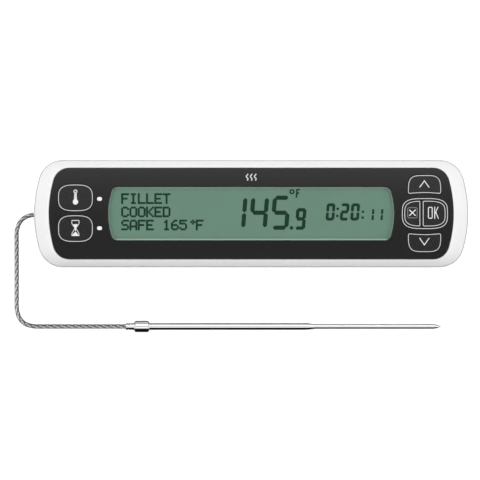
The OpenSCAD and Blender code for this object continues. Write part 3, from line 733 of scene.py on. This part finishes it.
# ---- Front shell ----
def rim_sections():
    """The outside of the front shell, from the joint up over the rim and down to the panel.

    A fine groove runs round it just inside its outer edge.
    """
    side = [(0.3, SPLIT_Z), (0.08, SPLIT_Z + 0.08), (0, SPLIT_Z + 0.35), (0, GROOVE_TOP - 0.2),
            (0.06, GROOVE_TOP - 0.05), (0.14, GROOVE_TOP), (0.24, GROOVE_TOP),
            (0.3, GROOVE_TOP - 0.08), (0.34, GROOVE_TOP - GROOVE_DEPTH),
            (GROOVE_IN, GROOVE_TOP - GROOVE_DEPTH)]
    rings = [(inset(UNIT, d), z) for d, z in side]
    start = inset(UNIT, GROOVE_IN)
    for turn in quarter(14):
        rise = math.sin(turn) ** (2 / RIM_POWER)
        reach = RIM_REACH * (1 - math.cos(turn) ** (2 / RIM_POWER))
        rings.append((mixed(start, PANEL, reach), RIM_START + (UNIT_T - RIM_START) * rise))
    lip = ((-0.24, UNIT_T), (-0.15, UNIT_T - 0.1), (-0.1, UNIT_T - 0.3), (-0.1, DECK_Z))
    rings += [(inset(PANEL, d), z) for d, z in lip]
    rings += [(inset(UNIT, WALL), DECK_Z), (inset(UNIT, WALL), SPLIT_Z)]
    return [at_height(bowed(size), z) for size, z in rings]


deck = Shape().prism(bowed(inset(PANEL, -0.8)), DECK_Z + 0.1, PANEL_Z)
display_hole = Shape().prism(rounded((0, 0), (LCD[0] + 0.4, LCD[1] + 0.3), 1),
                             DECK_Z - 1, PANEL_Z + 1)
front = Shape().loft(rim_sections(), closed=True).make(
    "front_housing", ["shell_white"], "monitor", ["front_shell"])
carved(front, [deck], [display_hole] + face_openings(DECK_Z - 1, PANEL_Z, 0), sharp=28)

# ---- Rear cover ----
RECESS = (34, 19.2)
RECESS_ROOF = 5.2
STAND_AXIS = (16.5, 2.5)
STAND_PIN_R = 1.25
BAY = (41, 91.6)
BAY_HALF_W = 12.1
BAY_ROOF = 12.7
DOOR_SPACE = (37.8, 92.6)
DOOR_AXIS = (39.4, 1.3)
SOUND_X = -60
# How far in from the unit's outline the cover's side is, and how far in and up its edge curves
COVER_IN = 0.45
COVER_CURVE = (2.55, 5)


def block(low, high, radius=0.6):
    """An upright box with round corners."""
    return Shape().prism(between(low, high, radius), low[2], high[2])


def slot_mouth(low_x, high_x, half_w, depth, radius, centre_y=0.0, flare=0.35):
    """A cutter for a rectangular hollow in the back."""
    outline = between((low_x, centre_y - half_w), (high_x, centre_y + half_w), radius)
    return mouth(outline, 0, depth, flare, min(0.6, radius * 0.6))


def cup_sections():
    """The rear cover from the middle of its flat back, round its edge, up, over and inside."""
    steps = [(COVER_IN + COVER_CURVE[0] * (1 - math.sin(t)), COVER_CURVE[1] * (1 - math.cos(t)))
             for t in quarter(9)]
    steps += [(0.3, SPLIT_Z - 0.6), (0.34, SPLIT_Z - 0.15), (0.6, SPLIT_Z), (WALL, SPLIT_Z),
              (WALL, 2)]
    return [at_height(bowed(inset(UNIT, d)), z) for d, z in steps]


rear_joined = [
    block((-RECESS[0] - 2.2, -RECESS[1] - 1.6, 1),
          (RECESS[0] + 2.2, RECESS[1] + 1.6, RECESS_ROOF + 1.5)),
    block((DOOR_SPACE[0] - 1.2, -BAY_HALF_W - 1.6, 1.1),
          (DOOR_SPACE[1] + 1, BAY_HALF_W + 1.6, BAY_ROOF + 1)),
    block((WALL - UNIT[0] - 0.5, JACK_Y - POCKET_HALF_W - 1.6, 1.2),
          (-90, JACK_Y + POCKET_HALF_W + 1.6, SPLIT_Z - 0.1)),
]
rear_joined += [Shape().prism(circle(place, 3.3), 1.3, SPLIT_Z - 0.2) for place in SCREWS]
rear_joined += [Shape().prism(circle(place, 6.5), 1.4, 2.6) for place in MAGNETS]
rear_cutters = [
    slot_mouth(-RECESS[0], RECESS[0], RECESS[1], RECESS_ROOF, 1.5),
    slot_mouth(DOOR_SPACE[0], DOOR_SPACE[1], BAY_HALF_W, 3, 1),
    block((BAY[0], -BAY_HALF_W, -1), (BAY[1], BAY_HALF_W, BAY_ROOF), 1),
    slot_mouth(-UNIT[0] - 6, POCKET_END_X, POCKET_HALF_W, POCKET_ROOF, 1.5, JACK_Y, flare=0.5),
    rod((POCKET_END_X - 1, JACK_Y, JACK_Z), (1, 0, 0), 4, 3.02),
    rod((-RECESS[0] - 2, *STAND_AXIS), (1, 0, 0), 2 * RECESS[0] + 4, STAND_PIN_R + 0.06),
    rod((DOOR_AXIS[0], -BAY_HALF_W - 1, DOOR_AXIS[1]), (0, 1, 0), 2 * BAY_HALF_W + 2, 0.86),
]
rear_cutters += [mouth(circle(place, 2.6), 0, 3, 0.3, 0) for place in SCREWS]
rear_cutters += [mouth(circle(place, 5.05), 0, 2, 0.25, 0) for place in MAGNETS]
sound_holes = [(SOUND_X, 0)] + circle((SOUND_X, 0), 3.6, 6)
rear_cutters += [mouth(circle(place, 0.7, 16), 0, 3, 0.15, 0) for place in sound_holes]
rear = Shape().loft(cup_sections()).make("rear_housing", ["shell_white"], "monitor", ["rear_cover"])
carved(rear, rear_joined, rear_cutters, sharp=28)

# ---- Face panel ----
INK = 0.03
HEAT_MARK_Y = 19.7
# Sideways swing and height of each of the three waves
HEAT_WAVE = (0.45, 3.6)


def plate_sections(outline, low, high, edge):
    """A flat plate with a small round edge at its top."""
    return [at_height(outline, low)] + sections(
        outline, [(-edge * (1 - math.cos(t)), high - edge * (1 - math.sin(t))) for t in quarter(4)])


panel = Shape().loft(plate_sections(bowed(inset(PANEL, 0.12)), PANEL_Z, PANEL_TOP, 0.35)).make(
    "face", ["panel_black"], "monitor", ["face_panel"])
window_hole = mouth(bowed(inset(WINDOW, -0.1)), PANEL_Z - 1, PANEL_TOP, 0.25, 0, up=False)
window_seat = Shape().prism(bowed(inset(WINDOW, -1.3)), PANEL_Z - 1, PANEL_Z + 0.9)
carved(panel, [], [window_hole, window_seat] + face_openings(PANEL_Z - 1, PANEL_TOP, 0.12),
       sharp=28)

ring = moved(barrel((12.2, 8.1), 3.4), PAIR)
face_print = Shape().stroke(ring, 0.37, PANEL_TOP - 0.02, PANEL_TOP + INK, closed=True)
for x in (-2.2, 0, 2.2):
    wave = [(x + HEAT_WAVE[0] * math.sin(math.tau * k / 16),
             HEAT_MARK_Y + HEAT_WAVE[1] * (k / 20 - 0.5)) for k in range(21)]
    face_print.stroke(wave, 0.6, PANEL_TOP - 0.02, PANEL_TOP + INK)
face_print.make("face_print", ["print_grey"], "monitor", slot="panel_black")

# ---- Keys ----
KEY_TOP = 24.7
KEY_DISH = 0.04
FLANGE_Z = 18.7
FLANGE_T = 1.4
FLANGE_W = 0.5
INK_LOW = KEY_TOP - KEY_DISH - 0.02
INK_HIGH = KEY_TOP - KEY_DISH + INK
INK_STEP = 0.003


def key_cap(outline):
    """A key with a flange under the deck, a soft edge, a printed border and a shallow dish."""
    steps = [(FLANGE_W, FLANGE_Z), (FLANGE_W, FLANGE_Z + FLANGE_T), (0, FLANGE_Z + FLANGE_T),
             (0, KEY_TOP - 0.16), (-0.03, KEY_TOP - 0.06), (-0.12, KEY_TOP), (-0.48, KEY_TOP),
             (-0.55, KEY_TOP - KEY_DISH)]
    return Shape().loft(sections(outline, steps), marked=[(5, 1)])


def key_of(name, icon):
    """The key's cap, with the icon's ink in slots 1 (grey), 2 (white) and 3 (dim)."""
    cap = key_cap(KEYS[name])
    icon(cap)
    cap.make(name + "_cap", ["key_black", "print_grey", "print_white", "print_dim"],
             name + "_button", [name + "_key"], sharp=28)


def next_top(shape):
    """The top of a key's next mark, a hair above the last one's, so that no two share a plane."""
    shape.marks += 1
    return INK_HIGH + INK_STEP * shape.marks


def ink_line(shape, points, width, slot, closed=False):
    shape.stroke(points, width, INK_LOW, next_top(shape), slot, closed)


def ink_area(shape, points, slot):
    shape.prism(points, INK_LOW, next_top(shape), slot)


def thermometer_icon(shape):
    x = OVALS["thermometer"][0]
    ink_line(shape, circle((x, 11.95), 0.78, 28), 0.6, 1, closed=True)
    ink_area(shape, [(x - 0.62, 11.1), (x - 0.85, 7.4), (x + 0.85, 7.4), (x + 0.62, 11.1)], 1)
    ink_area(shape, circle((x, 6.3), 1.45, 36), 2)


def timer_icon(shape):
    x = OVALS["timer"][0]
    wall = [(1.85, -3.8), (2.02, -4.9), (1.7, -5.8), (0.42, -7.5), (0.42, -8.2), (1.8, -10.6),
            (2.0, -11.9)]
    for side in (-1, 1):
        ink_line(shape, [(x + side * a, b) for a, b in wall], 0.42, 1)
    ink_line(shape, [(x - 2.05, -3.7), (x + 2.05, -3.7)], 0.5, 1)
    ink_area(shape, moved([(-1.35, -5.9), (-0.7, -5.7), (0.7, -5.7), (1.35, -5.9), (0.3, -7.6),
                           (0.25, -9.4), (-0.25, -9.4), (-0.3, -7.6)], (x, 0)), 2)
    ink_area(shape, moved([(0, -9.7), (1.0, -10.7), (2.05, -12.1), (-2.05, -12.1), (-1.0, -10.7)],
                          (x, 0)), 2)


def arrow_icon(side):
    low, high, reach = (14.1, 17.7, 2.6) if side > 0 else (13.2, 16.9, 2.6)
    line = [(ARROW[0] - 0.1 - reach, side * low), (ARROW[0] - 0.1, side * high),
            (ARROW[0] - 0.1 + reach, side * low)]
    return lambda shape: ink_line(shape, line, 0.46, 2)


def cancel_icon(shape):
    x, y = 87.05, 0.45
    ink_line(shape, rounded((x, y), (2.55, 2.75), 0.8), 0.4, 3, closed=True)
    for side in (-1, 1):
        ink_line(shape, [(x - 1.7, y - side * 1.6), (x + 1.7, y + side * 1.6)], 0.52, 2)


def ok_icon(shape):
    y = 0.45
    ink_line(shape, rounded((96.7, y), (1.02, 2.95), 0.5), 0.46, 2, closed=True)
    ink_line(shape, [(99.08, y - 3.2), (99.08, y + 3.2)], 0.46, 2)
    ink_line(shape, [(99.2, y - 0.6), (100.9, y + 3.2)], 0.42, 2)
    ink_line(shape, [(99.65, y + 0.5), (101.05, y - 3.2)], 0.42, 2)


key_of("thermometer", thermometer_icon)
key_of("timer", timer_icon)
key_of("up", arrow_icon(1))
key_of("down", arrow_icon(-1))
key_of("cancel", cancel_icon)
key_of("ok", ok_icon)

# ---- Display ----
LCD_Z = 21.8
INK_FOOT = LCD_Z - 0.01
INK_FACE = LCD_Z + 0.03
INK_LAYER = 0.002
LENS_TOP = 24.2
LEAN = 0.0805
# Segment ends, in strokes: gap before the end, length of its point, half gap at mid height
POINTED = {"gap": 0.05, "point": 0.42, "split": 0}
CLOSE = {"gap": -0.2, "point": 0.25, "split": 0.3}
SEGMENTS = {
    "0": "abcdef", "1": "bc", "2": "abged", "3": "abgcd", "4": "fgbc",
    "5": "afgcd", "6": "afgedc", "7": "abc", "8": "abcdefg", "9": "abcdfg",
}
DOT_PITCH = 0.79
LETTER_PITCH = 4.48
GLYPHS = {
    "A": "01110 10001 10001 10001 11111 10001 10001",
    "C": "01110 10001 10000 10000 10000 10001 01110",
    "D": "11110 10001 10001 10001 10001 10001 11110",
    "E": "11111 10000 10000 11110 10000 10000 11111",
    "F": "11111 10000 10000 11110 10000 10000 10000",
    "I": "01110 00100 00100 00100 00100 00100 01110",
    "K": "10001 10010 10100 11000 10100 10010 10001",
    "L": "10000 10000 10000 10000 10000 10000 11111",
    "O": "01110 10001 10001 10001 10001 10001 01110",
    "S": "01111 10000 10000 01110 00001 00001 11110",
    "T": "11111 00100 00100 00100 00100 00100 00100",
    "1": "00100 01100 00100 00100 00100 00100 01110",
    "5": "11111 10000 11110 00001 00001 10001 01110",
    "6": "00110 01000 10000 11110 10001 10001 01110",
    "*": "00010 00101 00010 00000 00000 00000 00000",
}
ink = Shape()


def lit(points, layer=0):
    """A lit area of the display. Areas that overlap have different layers, a hair apart."""
    ink.prism(points, INK_FOOT, INK_FACE + INK_LAYER * layer)


def segment(a, b, stroke, style, place, layer):
    """One display segment from a to b, with pointed ends, leaning to the right."""
    along = (Vector(b) - Vector(a)).normalized()
    across = Vector((-along.y, along.x)) * stroke / 2
    start = Vector(a) + along * style["gap"] * stroke
    end = Vector(b) - along * style["gap"] * stroke
    neck = along * stroke * style["point"]
    outline = [start, start + neck - across, end - neck - across, end, end - neck + across,
               start + neck + across]
    lit([(place[0] + p.x + LEAN * p.y, place[1] + p.y) for p in outline], layer)


def number(text, left, base, width, height, stroke, pitch, style):
    """Seven-segment figures: left is the first figure's left column, pitch the step to the next."""
    low, middle, high = stroke / 2, height / 2, height - stroke / 2
    below, above = middle - style["split"] * stroke, middle + style["split"] * stroke
    ends = {
        "a": ((0, high), (width, high)), "g": ((0, middle), (width, middle)),
        "d": ((0, low), (width, low)), "f": ((0, above), (0, high)), "e": ((0, low), (0, below)),
        "b": ((width, above), (width, high)), "c": ((width, low), (width, below)),
    }
    for i, figure in enumerate(text):
        for part in SEGMENTS[figure]:
            segment(*ends[part], stroke, style, (left + i * pitch, base), ord(part) - ord("a"))


def dot(x, y, size):
    lit(rounded((x, y), (size / 2, size / 2), size * 0.35, 4))


def words(text, left, top):
    """A row of dot-matrix characters."""
    for i, letter in enumerate(text):
        for row, pattern in enumerate(GLYPHS.get(letter, "").split()):
            for column, on in enumerate(pattern):
                if on == "1":
                    x = left + i * LETTER_PITCH + (column + 0.5) * DOT_PITCH
                    y = top - (row + 0.5) * DOT_PITCH
                    lit(rounded((x, y), (0.55, 0.55), 0.14, 1), row % 2 * 2 + column % 2)


number("145", -11.9, -8.75, 7.43, 18.47, 2.3, 11.67, POINTED)
dot(21.76, -7.72, 1.85)
number("9", 24.4, -8.75, 3.7, 11.72, 1.85, 0, CLOSE)
number("0", 40.9, -3.78, 3.15, 9.34, 1.58, 0, CLOSE)
number("20", 48.55, -3.78, 3.15, 9.34, 1.58, 5.67, CLOSE)
number("11", 62.7, -3.95, 2.8, 6.8, 1.15, 4.86, CLOSE)
for x, y in ((46.76, 2.6), (46.5, -1.24), (60.37, 0.97), (60.21, -2.16)):
    dot(x, y, 1.36)
ink.stroke(circle((22.0, 11.83), 1.02, 24), 0.76, INK_FOOT, INK_FACE, closed=True)
for layer, line in enumerate(([(24.4, 8.6), (24.78, 13.25)], [(24.75, 13.0), (26.3, 13.0)],
                              [(24.6, 11.0), (25.9, 11.0)])):
    ink.stroke(line, 0.9, INK_FOOT, INK_FACE + INK_LAYER * layer)
for text, top in (("FILLET", 10.85), ("COOKED", 3.65), ("SAFE 165*F", -3.4)):
    words(text, -70.1, top)
ink.make("display_ink", ["lcd_dark"], "monitor", slot="lcd_green", sharp=60)

# Lighter lines round the display's edge and along its top and bottom: painted highlights of the
# window's edge
rim = Shape().stroke(bowed(inset(WINDOW, 0.25)), 0.5, INK_FOOT, LCD_Z + 0.02, closed=True)
rim.stroke([(-73.5, 13.9), (73.5, 13.9)], 0.7, INK_FOOT, LCD_Z + 0.04, 0)
rim.stroke([(-73.5, -13.95), (73.5, -13.95)], 0.75, INK_FOOT, LCD_Z + 0.04, 1)
rim.make("display_edge_highlights", ["lcd_rim_highlight", "lcd_edge_highlight"], "monitor", slot="lcd_green")

lens = [at_height(bowed(inset(WINDOW, -1.2)), z) for z in (PANEL_Z, PANEL_Z + 0.8)]
lens_edge = ((0, PANEL_Z + 0.8), (0, LENS_TOP - 0.2), (0.06, LENS_TOP - 0.06), (0.2, LENS_TOP))
lens += [at_height(bowed(inset(WINDOW, d)), z) for d, z in lens_edge]
Shape().loft(lens).make("window_lens", ["lens_clear"], "monitor", ["display_lens"])

lights = Shape()
for place in INDICATORS:
    dome = [at_height(rounded(place, INDICATOR, 0.85), z) for z in (17.0, PANEL_TOP - 0.1)]
    for k in range(1, 5):
        turn = math.radians(80 * k / 4)
        outline = grown(rounded(place, INDICATOR, 0.85), -0.5 * (1 - math.cos(turn)))
        dome.append(at_height(outline, PANEL_TOP - 0.1 + 0.25 * math.sin(turn)))
    lights.loft(dome)
lights.make("indicator_windows", ["indicator_white"], "monitor", ["indicator_lenses"])

# ---- Stand ----
STAND_HALF_L = 33.0
STAND_Z = (0.3, 3.5)
STAND_FREE_Y = -18.6
FEET = [(-19, -16.4), (19, -16.4)]
leg_outline = between((-STAND_HALF_L, STAND_FREE_Y), (STAND_HALF_L, STAND_AXIS[0]), 1.4)
leg_rings = lower_edge(leg_outline, STAND_Z[0], 0.5)
leg_rings += sections(leg_outline, [(0, STAND_Z[1] - 0.25), (-0.25, STAND_Z[1])])
barrel_profile = [(0, 1.9), (0.3, 2.2), (2 * STAND_HALF_L - 0.3, 2.2), (2 * STAND_HALF_L, 1.9)]
leg_joined = [Shape().turned((-STAND_HALF_L, *STAND_AXIS), (1, 0, 0), barrel_profile)]
leg_cutters = [
    rod((-STAND_HALF_L - 1, *STAND_AXIS), (1, 0, 0), 2 * STAND_HALF_L + 2, 1.26),
    mouth(rounded((0, STAND_FREE_Y), (9, 5), 2.5), STAND_Z[0], STAND_Z[1] + 1, 0.45, 0),
]
leg_cutters += [
    mouth(rounded((x, -1.5), (8.6, 11), 1), STAND_Z[0] + 1.4, STAND_Z[1], 0.25, 0.4, up=False)
    for x in (-20.5, 0, 20.5)]
leg_cutters += [mouth(rounded(place, (8.05, 1.25), 0.45), STAND_Z[0], 1.25, 0.12, 0)
                for place in FEET]
leg = Shape().loft(leg_rings).make("stand", ["stand_white"], "stand", ["stand_leg"])
carved(leg, leg_joined, leg_cutters)

feet = Shape()
for place in FEET:
    steps = [(0, 1.2), (0, 0.3), (-0.08, 0.16), (-0.25, 0.1), (-0.55, 0.1), (-0.7, 0.22)]
    feet.loft(sections(rounded(place, (8, 1.2), 0.4), steps))
feet.make("stand_feet", ["foot_rubber"], "stand", ["stand_foot_pads"])

# ---- Battery door ----
DOOR = (39.4, 92.2)
DOOR_HALF_W = 11.8
DOOR_Z = (0.1, 1.7)
door_outline = between((DOOR[0], -DOOR_HALF_W), (DOOR[1], DOOR_HALF_W), 0.9)
door_rings = lower_edge(door_outline, DOOR_Z[0], 0.3) + [at_height(door_outline, DOOR_Z[1])]
door_joined = [
    Shape().turned((DOOR_AXIS[0], -DOOR_HALF_W, DOOR_AXIS[1]), (0, 1, 0),
                   [(0, 1.0), (0.2, 1.2), (2 * DOOR_HALF_W - 0.2, 1.2), (2 * DOOR_HALF_W, 1.0)]),
    rod((DOOR_AXIS[0], -DOOR_HALF_W - 1, DOOR_AXIS[1]), (0, 1, 0), 2 * DOOR_HALF_W + 2, 0.8),
    block((BAY[1] - 1.6, -4, 1), (BAY[1] - 0.5, 4, 2.8), 0.3),
]
door_cutters = [
    mouth(rounded((DOOR[1] - x, 0), (0.5, 6), 0.45), DOOR_Z[0], DOOR_Z[0] + 0.5, 0.2, 0.1)
    for x in (3, 5, 7, 9, 11)]
battery_symbol = rounded((58, 0), (5, 2.4), 0.5)
door_cutters.append(Shape().stroke(battery_symbol, 0.5, -1, DOOR_Z[0] + 0.25, closed=True))
door_cutters.append(block((63.6, -1, -1), (64.4, 1, DOOR_Z[0] + 0.25), 0.3))
door = Shape().loft(door_rings).make(
    "battery_cover", ["shell_white"], "battery_door", ["battery_door"])
carved(door, door_joined, door_cutters)

# ---- Small hardware ----
CELL_R = 5.25
CELL_L = 44.5
CELL_Z = 7.3
CELL_CAP = [(0, 1.5), (0.15, 1.85), (0.9, 1.9), (1.05, 2.1), (1.1, 4.2), (1.2, 4.6)]
CELL_TOP = [(1.15, 4.2), (1.3, 5.0), (1.7, CELL_R), (13, CELL_R)]
CELL_JACKET = [(13, CELL_R - 0.02), (13.02, CELL_R), (CELL_L - 0.8, CELL_R), (CELL_L - 0.3, 5.0),
               (CELL_L, 4.5)]
PLATES_X = (41.6, 91.0)
magnets = Shape()
for x, y in MAGNETS:
    magnets.turned((x, y, 0.1), (0, 0, 1),
                   [(0, 4.7), (0.08, 4.9), (0.3, 5.0), (1.7, 5.0), (1.9, 4.8)])
magnets.make("magnets", ["magnet_nickel"], "monitor", ["back_magnets"])

screws = Shape()
for x, y in SCREWS:
    screws.turned((x, y, 1.2), (0, 0, 1),
                  [(0, 1.7), (0.15, 2.1), (0.5, 2.36), (0.8, 2.4), (1.8, 2.4), (1.82, 1.2),
                   (13.5, 1.2), (14.7, 0.4)])
screw_object = screws.make("case_screws", ["screw_steel"], "monitor", ["housing_screws"])
crosses = []
for x, y in SCREWS:
    arms = [(0.32, 1.45), (0.32, 0.32), (1.45, 0.32)]
    cross = []
    for sx, sy, order in ((1, 1, -1), (-1, 1, 1), (-1, -1, -1), (1, -1, 1)):
        cross += [(x + sx * a, y + sy * b) for a, b in arms[::order]]
    bottom = [(x + (p - x) * 0.5, y + (q - y) * 0.5) for p, q in cross]
    crosses.append(Shape().loft([at_height(cross, 0.5), at_height(cross, 1.2),
                                 at_height(bottom, 2.2)]))
carved(screw_object, [], crosses)

cells = Shape()
for end, way, y in ((PLATES_X[1], -1, 5.5), (PLATES_X[0], 1, -5.5)):
    for profile, slot in ((CELL_CAP, 1), (CELL_TOP, 1), (CELL_JACKET, 0)):
        cells.turned((end, y, CELL_Z), (way, 0, 0), profile, slot)
cells.make("cells", ["cell_jacket", "contact_brass"], "monitor", ["battery_cells"])

# ---- Finishes of the pieces that keep their CAD shape ----
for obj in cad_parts.values():
    for holder in obj.material_slots:
        holder.material = FINISHES[holder.material.name.split(".")[0]]

# ---- Floor, backdrop light and lamps ----
FLOOR_HALF = 4000.0
FLOOR_GLOW = 0.55
# Brightness of the surround: round the horizon, overhead and below it
SKY_SIDES = 0.64
SKY_TOP = 0.26
SKY_GROUND = 0.8
# The dark bands end at this height (from -1 to 1); each has its top edge, its side and its depth
SHADE_END = -0.8
NEAR_SHADE = (0.72, -1, 0.01)
FAR_SHADE = (0.62, 1, 0.2)
# How much brighter the surround is at the two ends of the unit
END_BOOST = 1.5
# Where, in height or in distance to the side, the surround changes to overhead, ground and ends
OVERHEAD_FROM = (0.75, 0.97)
GROUND_FROM = (-0.15, 0.02)
ENDS_FROM = (0.3, 0.8)
LAMP_HEIGHT = 350


def plain_floor():
    material = finish_of("floor_white", (0.93, 0.93, 0.93), 0.6, grain=2, depth=0.0, tint=0.004,
                         patch=300)
    shader = material.node_tree.nodes["Principled BSDF"]
    shader.inputs["Emission Color"].default_value = (1, 1, 1, 1)
    shader.inputs["Emission Strength"].default_value = FLOOR_GLOW
    corners = [(-FLOOR_HALF, -FLOOR_HALF), (FLOOR_HALF, -FLOOR_HALF), (FLOOR_HALF, FLOOR_HALF),
               (-FLOOR_HALF, FLOOR_HALF)]
    mesh = bpy.data.meshes.new("floor")
    mesh.from_pydata([(x * MM, y * MM, 0) for x, y in corners], [], [(0, 1, 2, 3)])
    mesh.materials.append(material)
    floor = bpy.data.objects.new("floor", mesh)
    scene.collection.objects.link(floor)
    floor.visible_glossy = False


def softbox(name, low, high, radiance):
    """A rectangular lamp that faces down, between two corners, of the given brightness."""
    data = bpy.data.lights.new(name, "AREA")
    data.shape = "RECTANGLE"
    data.size = (high[0] - low[0]) * MM
    data.size_y = (high[1] - low[1]) * MM
    data.energy = radiance * math.pi * data.size * data.size_y
    lamp = bpy.data.objects.new(name, data)
    lamp.location = ((low[0] + high[0]) / 2 * MM, (low[1] + high[1]) / 2 * MM, LAMP_HEIGHT * MM)
    lamp.visible_camera = False
    scene.collection.objects.link(lamp)


def sky():
    """A pale surround, dimmer overhead, with a dark band low down on the near and far sides."""
    world = bpy.data.worlds.new("surround")
    scene.world = world
    world.use_nodes = True
    tree = world.node_tree
    place = tree.nodes.new("ShaderNodeTexCoord")
    split = tree.nodes.new("ShaderNodeSeparateXYZ")
    tree.links.new(place.outputs["Generated"], split.inputs["Vector"])
    x, y, z = (split.outputs[axis] for axis in "XYZ")

    def math_of(kind, *sources):
        step = tree.nodes.new("ShaderNodeMath")
        step.operation = kind
        for source, socket in zip(sources, step.inputs):
            tree.links.new(source, socket)
        return step.outputs["Value"]

    def product(*sources):
        result = sources[0]
        for source in sources[1:]:
            result = math_of("MULTIPLY", result, source)
        return result

    def dark_band(edge, side, depth):
        """Dims the surround to depth below the edge's height, on the near (-1) or far (1) side."""
        under = ranged(tree, z, 1, 0, edge - 0.09, edge + 0.09)
        over = ranged(tree, z, 0, 1, SHADE_END - 0.1, SHADE_END + 0.1)
        there = ranged(tree, y, 0, 1, 0.3 * side, 0.55 * side)
        return ranged(tree, product(under, over, there), 1, depth, 0, 1)

    overhead = ranged(tree, z, SKY_SIDES, SKY_TOP, *OVERHEAD_FROM)
    ends = ranged(tree, math_of("ABSOLUTE", x), 1, END_BOOST, *ENDS_FROM)
    ground = ranged(tree, z, SKY_GROUND, 1, *GROUND_FROM)
    strength = product(overhead, dark_band(*NEAR_SHADE), dark_band(*FAR_SHADE), ends, ground)
    background = tree.nodes["Background"]
    tree.links.new(strength, background.inputs["Strength"])
    background.inputs["Color"].default_value = (1, 1, 1, 1)


plain_floor()
sky()
softbox("far_softbox", (-500, 24), (500, 290), 1.42)
softbox("near_softbox", (-500, -310), (500, -55), 0.84)
